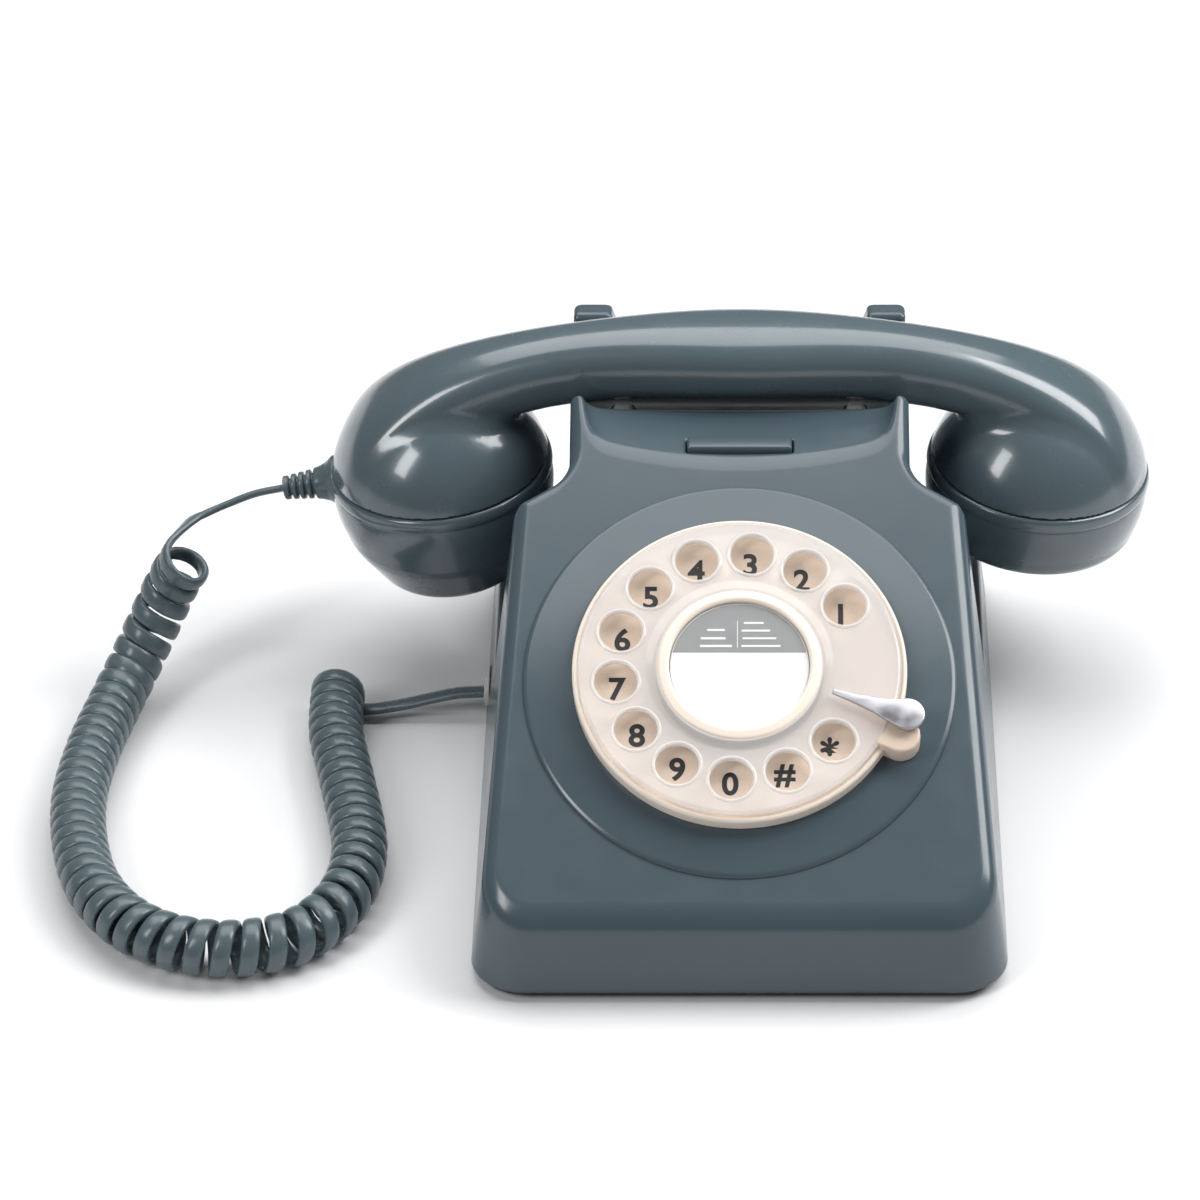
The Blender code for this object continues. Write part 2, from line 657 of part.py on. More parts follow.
def build_caps():
    """Hollow screw-on caps: a long conical one to speak into and a shallow one to listen at."""
    top = SEAM_HEIGHT - GAP
    band = [(29.0, top), (32.3, top), (33.0, 0), (32.6, -5.0), (31.8, -9.0)]
    mouth = [(0, -26.6), (16.5, -26.6), (27.6, -14.5), (29.0, -6.0), (29.8, 0)] + band
    mouth += [(31.0, -14.0), (22.5, -27.8), (20.5, -29.3), (18.0, -29.8), (0, -29.8)]
    keep(turned("mouthpiece_cap", mouth, cup_frame(-1), 36), BLUE_GREY)
    ear = [(0, -13.2), (24.0, -13.2), (27.6, -11.6), (29.0, -5.0), (29.8, 0)] + band
    ear += [(31.0, -12.2), (29.6, -14.6), (26.0, -16.4), (12.0, -15.6), (0, -15.2)]
    keep(turned("earpiece_cap", ear, cup_frame(1), 36), BLUE_GREY)
    keep(cylinder("microphone_capsule", 12.0, -25.8, -13.0, frame=cup_frame(-1), sides=28), STEEL)
    keep(cylinder("receiver_capsule", 21.0, -12.6, 0.0, frame=cup_frame(1), sides=32), STEEL)


RELIEF_TILT_DEG = 10.0


def relief_frame():
    """The cord relief's frame: at the mouthpiece cup's outer side, with +Z along the cord."""
    along = Matrix.Rotation(math.radians(-90.0 - RELIEF_TILT_DEG), 4, "Y")
    return Matrix.Translation(Vector((-CUP_X - CUP_RADIUS - 0.5, CRADLE_Y, 58.4)) * MM) @ along


def build_relief():
    profile = [(0, 13.8), (3.4, 13.8), (3.6, 12.2), (2.6, 12.0), (2.7, 10.6), (3.9, 10.4), (4.0, 8.8), (2.9, 8.6),
               (3.0, 7.2), (4.2, 7.0), (4.6, 3.6), (5.2, 0.4), (0, 0.4)]
    keep(turned("cord_relief", profile, relief_frame(), 20), CORD_GREY)


# ---------------------------------------------------------------- ringer and electronics


def build_gongs():
    for side, label in ((-1, "left"), (1, "right")):
        frame = Matrix.Translation(Vector((side * GONG_X, GONG_Y, GONG_Z)) * MM)
        shell = [(2.4, 14.0), (12.0, 13.0), (18.5, 8.5), (20.5, 0.0), (19.3, 0.0), (17.4, 7.6), (11.5, 11.6),
                 (2.4, 12.6), (2.4, 14.0)]
        keep(turned("gong_" + label, shell, frame, 32), BRASS)
        foot = 3.2 - GONG_Z
        post = [(0, 16.0), (4.0, 16.0), (4.0, 14.4), (2.0, 14.4), (2.0, 12.0), (3.6, 12.0), (3.6, foot), (0, foot)]
        keep(turned("gong_post_" + label, post, frame, 16), STEEL)
    frame = Matrix.Translation(Vector((0.0, RINGER_Y, 30.0)) * MM) @ Matrix.Rotation(math.pi / 2, 4, "Y")
    coil = [(9.0, 17.0), (9.0, -17.0), (3.4, -17.0), (3.4, 17.0), (9.0, 17.0)]
    keep(turned("ringer_coil", coil, frame, 24), COPPER)
    core = box("ringer_frame", (42.0, 5.0, 3.0), (0, RINGER_Y, 19.0))
    for side in (-1, 1):
        boolean(core, box("frame_ear", (3.0, 5.0, 16.0), (side * 19.5, RINGER_Y, 25.0)), "UNION")
    boolean(core, box("frame_foot", (12.0, 5.0, 16.0), (0, RINGER_Y, 11.3)), "UNION")
    keep(applied(core), STEEL)
    arm = box("ringer_clapper", (2.2, 23.0, 2.0), (0, CLAPPER_PIVOT_Y + 10.5, GONG_Z + 3.0))
    boolean(arm, ball("clapper_ball", 1.5, (0, CLAPPER_PIVOT_Y + 22.0, GONG_Z + 3.0), 12, 8), "UNION")
    keep(applied(arm), STEEL)


def build_electronics():
    keep(box("circuit_board", (96.0, 60.0, 1.6), (0, -62.0, 7.6)), BOARD)
    keep(box("transformer", (18.0, 14.0, 12.0), (26.0, -70.0, 14.8)), STEEL)
    can = cylinder("capacitor", 4.5, 8.8, 20.0, centre=(-28.0, -72.0), sides=20)
    keep(can, BLACK)
    keep(box("ballast_weight", (70.0, 36.0, 6.0), (0, 2.0, 6.2)), STEEL)
    socket = box("handset_socket", (11.0, 12.4, 10.0), (-68.5, 27, 9.6))
    boolean(socket, box("plug_hole", (20.0, 7.6, 6.2), (-74.0, 27, 9.6)))
    keep(applied(socket), BLACK)
    jack = box("line_socket", (12.4, 13.0, 10.0), (30, 96.3, 9.6))
    boolean(jack, box("line_plug_hole", (9.8, 20.0, 6.8), (30, 103.2, 9.6)))
    keep(applied(jack), BLACK)


def build_sliders():
    """Two small sliders in slots of the base plate: ringer volume, and tone or pulse."""
    for label, x in (("volume_slider", -24.0), ("dialling_slider", 24.0)):
        knob = box(label, (5.0, 3.4, 4.0), (x, 40, 3.0))
        boolean(knob, box("slider_back", (16.0, 6.0, 1.2), (x, 40, 4.0)), "UNION")
        keep(applied(knob), BLACK)


# ---------------------------------------------------------------- cord

COIL_ROUTE = [
    (-163.0, 45.0, 45.0), (-168.0, 46.5, 35.5), (-174.0, 42.8, 23.5), (-180.0, 35.0, 13.2), (-184.5, 23.0, 8.8),
    (-189.0, 0.0, 8.5), (-190.8, -23.5, 8.5), (-188.0, -46.5, 8.5), (-182.0, -65.0, 8.5), (-171.0, -80.0, 8.5),
    (-156.0, -88.6, 8.5), (-139.0, -90.4, 8.5), (-123.0, -84.5, 8.5), (-112.0, -69.0, 8.5), (-108.5, -46.5, 8.5),
    (-114.0, -14.0, 8.5), (-118.0, 5.0, 8.5), (-119.0, 18.0, 8.5), (-119.0, 30.0, 8.5),
]
UPPER_STRAND = [
    (-135.7, 66.0, 55.9), (-144.0, 65.5, 54.2), (-152.5, 63.6, 51.6), (-158.5, 61.0, 50.2), (-162.6, 57.6, 49.8),
]
LOWER_STRAND = [
    (-110.3, 26.5, 3.4), (-101.0, 27.0, 4.6), (-92.0, 27.0, 7.0), (-84.0, 27.0, 9.0), (-75.9, 27.0, 9.6),
]


def build_cord():
    tube("cord_coil", smooth_path(COIL_ROUTE, 46), COIL_RADIUS, CORD_GREY, 3)
    tube("cord_upper_strand", smooth_path(UPPER_STRAND, 8), STRAND_RADIUS, CORD_GREY, 2)
    tube("cord_lower_strand", smooth_path(LOWER_STRAND, 8), STRAND_RADIUS, CORD_GREY, 2)
    keep(box("cord_plug", (11.2, 6.8, 5.4), (-69.9, 27, 9.6)), CLEAR)


build_case()
build_base()
build_dial_fixed()
build_dial_moving()
build_train()
build_hook()
build_handset_shell()
build_caps()
build_relief()
build_gongs()
build_electronics()
build_sliders()
build_cord()
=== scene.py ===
"""The looks of a rotary telephone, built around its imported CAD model.

Lengths below are in millimetres, in the CAD model's frame, and MM turns them into metres.
"""

import json
import math

import bmesh
import bpy
import numpy as np
from mathutils import Matrix, Vector


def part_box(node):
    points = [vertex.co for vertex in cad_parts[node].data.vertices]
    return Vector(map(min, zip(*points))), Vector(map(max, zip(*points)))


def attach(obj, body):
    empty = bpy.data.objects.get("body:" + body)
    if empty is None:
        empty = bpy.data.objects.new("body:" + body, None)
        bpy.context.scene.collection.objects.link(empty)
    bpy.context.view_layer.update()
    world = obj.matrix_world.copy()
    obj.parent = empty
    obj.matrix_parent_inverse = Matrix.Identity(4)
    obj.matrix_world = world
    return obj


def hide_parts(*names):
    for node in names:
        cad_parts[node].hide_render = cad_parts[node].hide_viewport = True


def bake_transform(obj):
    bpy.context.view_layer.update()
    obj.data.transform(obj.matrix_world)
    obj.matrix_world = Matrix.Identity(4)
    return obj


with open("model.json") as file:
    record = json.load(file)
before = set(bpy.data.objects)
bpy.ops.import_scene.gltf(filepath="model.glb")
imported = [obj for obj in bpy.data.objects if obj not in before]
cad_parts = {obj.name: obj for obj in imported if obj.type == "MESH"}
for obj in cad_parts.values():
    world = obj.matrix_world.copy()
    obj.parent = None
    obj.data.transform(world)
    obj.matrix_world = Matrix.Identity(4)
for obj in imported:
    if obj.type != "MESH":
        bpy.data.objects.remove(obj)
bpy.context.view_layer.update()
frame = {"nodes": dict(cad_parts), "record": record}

MM = 0.001
NODES = frame["nodes"]
RECORD = frame["record"]

# The case, as in the CAD model
BASE_HALF_WIDTH = 75.5
HALF_DEPTH = 104.0
SIDE_DRAFT = 0.132
END_DRAFT = 0.105
CORNER_RADIUS = 15.0
WALL = 2.6
CASE_BOTTOM = 2.9
FOLD = (-101.0, 27.3)
SLOPE = math.radians(27.5)
NECK_HALF_WIDTH = 49.0
LEDGE_Z = 23.5
SHOULDER = (63.7, 15.5)
SHOULDER_LEAN = 0.55
CRADLE_Y = 66.0
CRADLE_FLOOR = 93.2
CRADLE_HALF_WIDTH = 46.1
CRADLE_NARROWING = 8.2
CHANNEL_RADIUS = 20.8
CHANNEL_Z = 109.0
HORN_TOP = 104.0
PLUNGER_X = 34.0
PLUNGER_Y = 58.5
BAR_Y = 33.0
BAR_TOP = 95.2

# The dial
SURROUND_RADIUS = 61.2
WELL_RADIUS = 41.0
HOLE_RADIUS = 6.3
HOLE_CIRCLE = 35.0
HOLE_COUNT = 12
HOLE_PITCH_DEG = 26.0
FIRST_HOLE_DEG = 32.3
STOP_DEG = -19.0
FIGURES = "1234567890#*"
RING_RIM_INNER = 44.5

# The handset
CUP_X = 88.0
CUP_Z = 60.0
CUP_RADIUS = 33.0
CUP_TILT_DEG = 5.0
SEAM_HEIGHT = 7.0
SHELL_WALL = 3.0
HANDLE_HALF_SPAN = 108.5
HANDLE_RISE = 43.9
HANDLE_POWER = 2.2
HANDLE_HALF_HEIGHT = 11.0

# The cord
STRAND_WIDTH = 5.2
STRAND_THICKNESS = 2.25
COIL_MIDDLE_RADIUS = 7.0

DIAL_UP_SLOPE = 73.3
DIAL_CENTRE = Vector((0.0, FOLD[0] + math.cos(SLOPE) * DIAL_UP_SLOPE,
                      FOLD[1] + math.sin(SLOPE) * DIAL_UP_SLOPE))
DIAL = Matrix.Translation(DIAL_CENTRE) @ Matrix.Rotation(SLOPE, 4, "X")


# ---------------------------------------------------------------- meshes


def new_mesh_object(name, vertices, faces):
    """An object from points in millimetres."""
    mesh = bpy.data.meshes.new(name)
    mesh.from_pydata([tuple(v) for v in np.asarray(vertices, float) * MM], [], faces)
    mesh.update()
    obj = bpy.data.objects.new(name, mesh)
    bpy.context.scene.collection.objects.link(obj)
    return obj


def from_bmesh(name, bm, matrix=None):
    """An object from a bmesh in millimetres, which may be placed by a matrix in millimetres."""
    if matrix is not None:
        bmesh.ops.transform(bm, matrix=matrix, verts=bm.verts)
    bmesh.ops.scale(bm, vec=(MM, MM, MM), verts=bm.verts)
    bmesh.ops.recalc_face_normals(bm, faces=bm.faces)
    mesh = bpy.data.meshes.new(name)
    bm.to_mesh(mesh)
    bm.free()
    obj = bpy.data.objects.new(name, mesh)
    bpy.context.scene.collection.objects.link(obj)
    return obj


def smooth(obj, degrees=35.0):
    obj.data.shade_smooth()
    obj.data.set_sharp_from_angle(angle=math.radians(degrees))
    return obj


def applied(obj):
    """Turn an object's modifiers into its mesh."""
    bpy.context.view_layer.update()
    graph = bpy.context.evaluated_depsgraph_get()
    mesh = bpy.data.meshes.new_from_object(obj.evaluated_get(graph))
    old = obj.data
    obj.modifiers.clear()
    obj.data = mesh
    mesh.name = obj.name
    if old.users == 0:
        bpy.data.meshes.remove(old)
    return obj


def cut(obj, tool, operation="DIFFERENCE"):
    mod = obj.modifiers.new("cut", "BOOLEAN")
    mod.operation = operation
    mod.object = tool
    applied(obj)
    bpy.data.objects.remove(tool, do_unlink=True)
    return obj


def softened(points, radius, closed=False, steps=4):
    """The outline with each corner replaced by a short curve that starts a radius away from it."""
    pts = [Vector(p) for p in points]
    count = len(pts)
    out = []
    for i, p in enumerate(pts):
        if not closed and i in (0, count - 1):
            out.append(p)
            continue
        before = pts[i - 1] - p
        after = pts[(i + 1) % count] - p
        reach = min(radius, before.length * 0.45, after.length * 0.45)
        a = p + before.normalized() * reach
        b = p + after.normalized() * reach
        for k in range(steps + 1):
            t = k / steps
            out.append(a * (1 - t) ** 2 + p * 2 * t * (1 - t) + b * t ** 2)
    return [tuple(q) for q in out]


def turned(name, profile, matrix, steps=96):
    """Turn a profile of (radius, height) points about the matrix's Z, top of the outer side first."""
    bm = bmesh.new()
    rows = []
    for r, z in profile:
        if r < 1e-6:
            rows.append([bm.verts.new((0, 0, z))])
        else:
            angles = [2 * math.pi * k / steps for k in range(steps)]
            rows.append([bm.verts.new((r * math.cos(a), r * math.sin(a), z)) for a in angles])
    pairs = list(zip(rows, rows[1:]))
    if profile[0][0] > 1e-6 and profile[-1][0] > 1e-6:
        pairs.append((rows[-1], rows[0]))
    for a, b in pairs:
        for k in range(steps):
            j = (k + 1) % steps
            if len(a) == 1 and len(b) > 1:
                bm.faces.new((a[0], b[k], b[j]))
            elif len(b) == 1 and len(a) > 1:
                bm.faces.new((a[j], a[k], b[0]))
            elif len(a) > 1:
                bm.faces.new((a[k], b[k], b[j], a[j]))
    return smooth(from_bmesh(name, bm, matrix))


def block(name, size, centre, round_off, matrix=None, segments=3):
    """A box with rounded edges."""
    bm = bmesh.new()
    bmesh.ops.create_cube(bm, size=1.0)
    bmesh.ops.scale(bm, vec=size, verts=bm.verts)
    bmesh.ops.translate(bm, vec=centre, verts=bm.verts)
    if round_off > 0:
        bmesh.ops.bevel(bm, geom=bm.edges[:], offset=round_off, segments=segments, profile=0.5,
                        affect="EDGES")
    return smooth(from_bmesh(name, bm, matrix), 50)


def prism(name, outline, low, high, round_off, matrix=None, segments=3):
    """Extrude a closed outline along Z, with its two rims rounded."""
    bm = bmesh.new()
    face = bm.faces.new([bm.verts.new((u, v, low)) for u, v in outline])
    grown = bmesh.ops.extrude_face_region(bm, geom=[face])
    moved = [item for item in grown["geom"] if isinstance(item, bmesh.types.BMVert)]
    bmesh.ops.translate(bm, vec=(0, 0, high - low), verts=moved)
    if round_off > 0:
        rims = [e for e in bm.edges if abs(e.verts[0].co.z - e.verts[1].co.z) < 1e-6]
        bmesh.ops.bevel(bm, geom=rims, offset=round_off, segments=segments, profile=0.5, affect="EDGES")
    return smooth(from_bmesh(name, bm, matrix), 45)


def arc(centre, radius, start_deg, end_deg, count):
    out = []
    for k in range(count + 1):
        angle = math.radians(start_deg + (end_deg - start_deg) * k / count)
        out.append((centre[0] + radius * math.cos(angle), centre[1] + radius * math.sin(angle)))
    return out


# ---------------------------------------------------------------- surfaces from distance fields


def meet(a, b, radius):
    """The part in both fields, with their common edge rounded off."""
    corner = np.hypot(np.maximum(a + radius, 0), np.maximum(b + radius, 0))
    return np.minimum(np.maximum(a, b), -radius) + corner


def merge(a, b, radius):
    """The part in either field, with a fillet between them."""
    return -meet(-a, -b, radius)


def slope_of(field, p, step=0.05):
    g = np.empty_like(p)
    for axis in range(3):
        shift = np.zeros(3)
        shift[axis] = step
        ahead = p + shift
        behind = p - shift
        g[:, axis] = (field(*ahead.T) - field(*behind.T)) / (2 * step)
    return g


def onto_surface(field, p, rounds=3):
    for _ in range(rounds):
        g = slope_of(field, p)
        size = np.maximum((g * g).sum(axis=1), 0.05)
        move = g * (field(*p.T) / size)[:, None]
        length = np.linalg.norm(move, axis=1)
        p = p - move * np.minimum(1.0, 0.6 / np.maximum(length, 1e-9))[:, None]
    return p


def net_of(field, low, high, voxel):
    """The field's zero surface on a grid: one point in each cell that it crosses, joined by quads."""
    axes = [np.arange(a, b + voxel, voxel) for a, b in zip(low, high)]
    x, y, z = np.meshgrid(*axes, indexing="ij", sparse=True)
    d = field(x, y, z) + np.zeros([len(a) for a in axes])
    inside = d < 0
    count = np.zeros([n - 1 for n in d.shape], np.int8)
    total = np.zeros([n - 1 for n in d.shape] + [3], np.float32)
    hits = np.zeros([n - 1 for n in d.shape], np.float32)
    cells = [slice(0, n - 1) for n in d.shape]
    for i in (0, 1):
        for j in (0, 1):
            for k in (0, 1):
                part = inside[i:i + cells[0].stop, j:j + cells[1].stop, k:k + cells[2].stop]
                count += part
    active = (count > 0) & (count < 8)
    number = np.full(active.shape, -1, np.int64)
    number[active] = np.arange(active.sum())
    at = np.argwhere(active)
    for axis in range(3):
        others = [o for o in range(3) if o != axis]
        for u in (0, 1):
            for v in (0, 1):
                base = at.copy()
                base[:, others[0]] += u
                base[:, others[1]] += v
                tip = base.copy()
                tip[:, axis] += 1
                a = d[base[:, 0], base[:, 1], base[:, 2]]
                b = d[tip[:, 0], tip[:, 1], tip[:, 2]]
                crossing = (a < 0) != (b < 0)
                share = np.where(crossing, a / np.where(crossing, a - b, 1.0), 0.0)
                place = base.astype(np.float32)
                place[:, axis] += share
                total[at[:, 0], at[:, 1], at[:, 2]] += place * crossing[:, None]
                hits[at[:, 0], at[:, 1], at[:, 2]] += crossing
    points = total[active] / hits[active][:, None] * voxel + np.array(low)
    faces = []
    for axis in range(3):
        b, c = [(axis + 1) % 3, (axis + 2) % 3]
        near = [slice(None)] * 3
        far = [slice(None)] * 3
        near[axis] = slice(0, -1)
        far[axis] = slice(1, None)
        change = inside[tuple(near)] != inside[tuple(far)]
        where = np.argwhere(change)
        keep = (where[:, b] > 0) & (where[:, c] > 0)
        keep &= (where[:, b] < d.shape[b] - 1) & (where[:, c] < d.shape[c] - 1)
        where = where[keep]
        outward = inside[tuple(near)][where[:, 0], where[:, 1], where[:, 2]]
        corners = []
        for u, v in ((-1, -1), (0, -1), (0, 0), (-1, 0)):
            cell = where.copy()
            cell[:, b] += u
            cell[:, c] += v
            corners.append(number[cell[:, 0], cell[:, 1], cell[:, 2]])
        quads = np.stack(corners, axis=1)
        quads[~outward] = quads[~outward][:, ::-1]
        faces.append(quads)
    return points.astype(float), np.concatenate(faces)


def relaxed(field, p, quads, rounds):
    """Even out the points along the surface."""
    a = quads.ravel()
    b = np.roll(quads, -1, axis=1).ravel()
    ends = np.concatenate([a, b])
    others = np.concatenate([b, a])
    degree = np.maximum(np.bincount(ends, minlength=len(p)), 1)
    for _ in range(rounds):
        sums = [np.bincount(ends, weights=p[others, k], minlength=len(p)) for k in range(3)]
        mean = np.stack([total / degree for total in sums], 1)
        p = onto_surface(field, p + 0.5 * (mean - p), 1)
    return p


def surface(name, field, low, high, voxel, kept):
    """A mesh of the field's zero surface, with the field's own normals.

    A share of its faces is kept, most of them where it curves.
    """
    p, quads = net_of(field, low, high, voxel)
    p = onto_surface(field, p, 2)
    p = relaxed(field, p, quads, 3)
    p = onto_surface(field, p, 3)
    obj = new_mesh_object(name, p, quads.tolist())
    thin = obj.modifiers.new("thin", "DECIMATE")
    thin.ratio = kept
    mesh = applied(obj).data
    place = np.empty(len(mesh.vertices) * 3)
    mesh.vertices.foreach_get("co", place)
    p = onto_surface(field, place.reshape(-1, 3) / MM, 3)
    mesh.vertices.foreach_set("co", (p * MM).ravel())
    mesh.update()
    g = slope_of(field, p, 0.02)
    g /= np.maximum(np.linalg.norm(g, axis=1), 1e-9)[:, None]
    mesh.shade_smooth()
    mesh.normals_split_custom_set_from_vertices([tuple(n) for n in g])
    return obj


# ---------------------------------------------------------------- materials


def node_material(name):
    mat = bpy.data.materials.new(name)
    mat.use_nodes = True
    nodes = mat.node_tree.nodes
    links = mat.node_tree.links
    return mat, nodes, links, nodes["Principled BSDF"]


def noise(nodes, links, scale, detail=2.0, stretch=None):
    """Noise in the object's own space, in metres."""
    where = nodes.new("ShaderNodeTexCoord")
    tex = nodes.new("ShaderNodeTexNoise")
    tex.inputs["Scale"].default_value = scale
    tex.inputs["Detail"].default_value = detail
    if stretch is None:
        links.new(where.outputs["Object"], tex.inputs["Vector"])
    else:
        mapping = nodes.new("ShaderNodeMapping")
        mapping.inputs["Scale"].default_value = stretch
        links.new(where.outputs["Object"], mapping.inputs["Vector"])
        links.new(mapping.outputs["Vector"], tex.inputs["Vector"])
    return tex.outputs["Fac"]


def between(nodes, links, factor, low, high):
    """A number that follows the factor from low to high."""
    ramp = nodes.new("ShaderNodeMapRange")
    ramp.inputs["From Min"].default_value = 0.3
    ramp.inputs["From Max"].default_value = 0.7
    ramp.inputs["To Min"].default_value = low
    ramp.inputs["To Max"].default_value = high
    links.new(factor, ramp.inputs["Value"])
    return ramp.outputs["Result"]


def tinted(nodes, links, factor, colour, spread):
    """A colour that varies a little with the factor."""
    ramp = nodes.new("ShaderNodeValToRGB")
    ramp.color_ramp.elements[0].position = 0.3
    ramp.color_ramp.elements[1].position = 0.7
    ramp.color_ramp.elements[0].color = (*[c * (1 - spread) for c in colour], 1)
    ramp.color_ramp.elements[1].color = (*[min(1.0, c * (1 + spread)) for c in colour], 1)
    links.new(factor, ramp.inputs["Fac"])
    return ramp.outputs["Color"]


def bumped(nodes, links, shader, height, distance, strength=1.0):
    bump = nodes.new("ShaderNodeBump")
    bump.inputs["Strength"].default_value = strength
    bump.inputs["Distance"].default_value = distance
    links.new(height, bump.inputs["Height"])
    links.new(bump.outputs["Normal"], shader.inputs["Normal"])


def moulded(name, colour, rough, spread=0.03, grain=0.00001, grain_scale=900.0, coat=0.0):
    """Moulded plastic: a little cloudy in colour, with the faint unevenness of a polished mould."""
    mat, nodes, links, shader = node_material(name)
    cloud = noise(nodes, links, 35.0, 3.0)
    links.new(tinted(nodes, links, cloud, colour, spread), shader.inputs["Base Color"])
    smudge = noise(nodes, links, 110.0, 4.0)
    links.new(between(nodes, links, smudge, rough * 0.85, rough * 1.2), shader.inputs["Roughness"])
    bumped(nodes, links, shader, noise(nodes, links, grain_scale, 2.0), grain)
    shader.inputs["IOR"].default_value = 1.5
    shader.inputs["Coat Weight"].default_value = coat
    shader.inputs["Coat Roughness"].default_value = 0.10
    return mat


def metal(name, colour, rough, stretch=None, grain=0.000004):
    mat, nodes, links, shader = node_material(name)
    shade = noise(nodes, links, 180.0, 3.0, stretch)
    links.new(tinted(nodes, links, shade, colour, 0.06), shader.inputs["Base Color"])
    links.new(between(nodes, links, shade, rough * 0.75, rough * 1.3), shader.inputs["Roughness"])
    bumped(nodes, links, shader, noise(nodes, links, 1500.0, 2.0, stretch), grain)
    shader.inputs["Metallic"].default_value = 1.0
    return mat


def clear(name, colour, alpha, rough=0.06):
    """Clear plastic as a thin veil that lets the light through, with a glossy surface."""
    mat, nodes, links, shader = node_material(name)
    cloud = noise(nodes, links, 60.0, 3.0)
    links.new(tinted(nodes, links, cloud, colour, 0.03), shader.inputs["Base Color"])
    links.new(between(nodes, links, noise(nodes, links, 140.0, 3.0), rough * 0.8, rough * 1.3),
              shader.inputs["Roughness"])
    shader.inputs["Alpha"].default_value = alpha
    shader.inputs["IOR"].default_value = 1.49
    shader.inputs["Coat Weight"].default_value = 1.0
    shader.inputs["Coat Roughness"].default_value = 0.03
    return mat


def wound(name):
    """Fine lacquered copper wire, wound in rows."""
    mat, nodes, links, shader = node_material(name)
    where = nodes.new("ShaderNodeTexCoord")
    wave = nodes.new("ShaderNodeTexWave")
    wave.inputs["Scale"].default_value = 900.0
    links.new(where.outputs["Object"], wave.inputs["Vector"])
    links.new(tinted(nodes, links, wave.outputs["Fac"], (0.45, 0.17, 0.07), 0.4), shader.inputs["Base Color"])
    bumped(nodes, links, shader, wave.outputs["Fac"], 0.0001)
    shader.inputs["Roughness"].default_value = 0.35
    return mat


BLUE_GREY = (0.061, 0.087, 0.105)
MATERIALS = {
    "case_plastic": moulded("case_plastic", BLUE_GREY, 0.2),
    "handset_plastic": moulded("handset_plastic", (0.076, 0.108, 0.125), 0.24, coat=0.7),
    "cord_plastic": moulded("cord_plastic", (0.080, 0.112, 0.125), 0.28, grain=0.00002),
    "number_ring_plastic": moulded("number_ring_plastic", (0.70, 0.56, 0.45), 0.3, spread=0.05),
    "clear_plastic": clear("clear_plastic", (0.90, 0.87, 0.85), 0.36),
    "label_card": moulded("label_card", (0.80, 0.80, 0.81), 0.6, spread=0.02, grain_scale=2500.0),
    "chrome_trim": metal("chrome_trim", (0.48, 0.48, 0.505), 0.40),
    "steel_parts": metal("steel_parts", (0.50, 0.50, 0.52), 0.35, (1, 8, 1)),
    "brass_parts": metal("brass_parts", (0.75, 0.56, 0.26), 0.3, (1, 8, 1)),
    "black_parts": moulded("black_parts", (0.02, 0.02, 0.021), 0.42, spread=0.1, grain=0.00003),
    "base_paint": moulded("base_paint", (0.018, 0.018, 0.019), 0.38, spread=0.1, grain=0.00006,
                          grain_scale=500.0),
    "foot_rubber": moulded("foot_rubber", (0.022, 0.022, 0.022), 0.75, spread=0.2, grain=0.0001),
    "board_laminate": moulded("board_laminate", (0.03, 0.16, 0.07), 0.4, spread=0.15),
    "coil_wire": wound("coil_wire"),
}
INK = moulded("figure_ink", (0.010, 0.010, 0.012), 0.5, spread=0.1)
LABEL_GREY = moulded("label_grey", (0.235, 0.24, 0.24), 0.6, spread=0.03, grain_scale=2500.0)
CREAM = moulded("rim_cream", (0.84, 0.74, 0.64), 0.3)
CLEAR_DOME = clear("clear_dome", (0.9, 0.9, 0.92), 0.04, 0.04)


def finish_piece(obj, body, slot, *nodes, material=None):
    """Give a piece its body, its finish and the CAD nodes that it stands for."""
    obj.data.materials.clear()
    obj.data.materials.append(material or MATERIALS[slot])
    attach(obj, body)
    if nodes:
        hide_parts(*nodes)
    return obj


# ---------------------------------------------------------------- camera, floor and lights


def make_camera():
    camera = bpy.data.objects.new("camera", bpy.data.cameras.new("camera"))
    bpy.context.scene.collection.objects.link(camera)
    elevation = math.radians(36.0)
    target = Vector((0.0, -0.0382, 0.0905))
    distance = 1.5
    back = Vector((0.0, -math.cos(elevation), math.sin(elevation)))
    camera.location = target + back * distance
    camera.rotation_euler = (math.pi / 2 - elevation, 0.0, 0.0)
    camera.data.lens = 162.0
    camera.data.sensor_width = 36.0
    camera.data.shift_x = -0.1163
    camera.data.clip_start = 0.01
    camera.data.clip_end = 50.0
    bpy.context.scene.camera = camera


def area_light(name, azimuth_deg, elevation_deg, distance, size, power, colour=(1, 1, 1)):
    """A soft box that looks at the telephone. Azimuth 0 is to the back and 90 to the right."""
    azimuth = math.radians(azimuth_deg)
    elevation = math.radians(elevation_deg)
    way = Vector((math.sin(azimuth) * math.cos(elevation), math.cos(azimuth) * math.cos(elevation),
                  math.sin(elevation)))
    data = bpy.data.lights.new(name, "AREA")
    data.shape = "RECTANGLE"
    data.size = size[0]
    data.size_y = size[1]
    data.energy = power
    data.color = colour
    light = bpy.data.objects.new(name, data)
    light.location = Vector((0, 0, 0.05)) + way * distance
    light.rotation_euler = way.to_track_quat("Z", "Y").to_euler()
    bpy.context.scene.collection.objects.link(light)


def make_world():
    world = bpy.data.worlds.new("studio")
    bpy.context.scene.world = world
    world.use_nodes = True
    background = world.node_tree.nodes["Background"]
    background.inputs["Color"].default_value = (0.94, 0.97, 1.0, 1.0)
    background.inputs["Strength"].default_value = 0.15
    bpy.context.scene.view_settings.view_transform = "Standard"


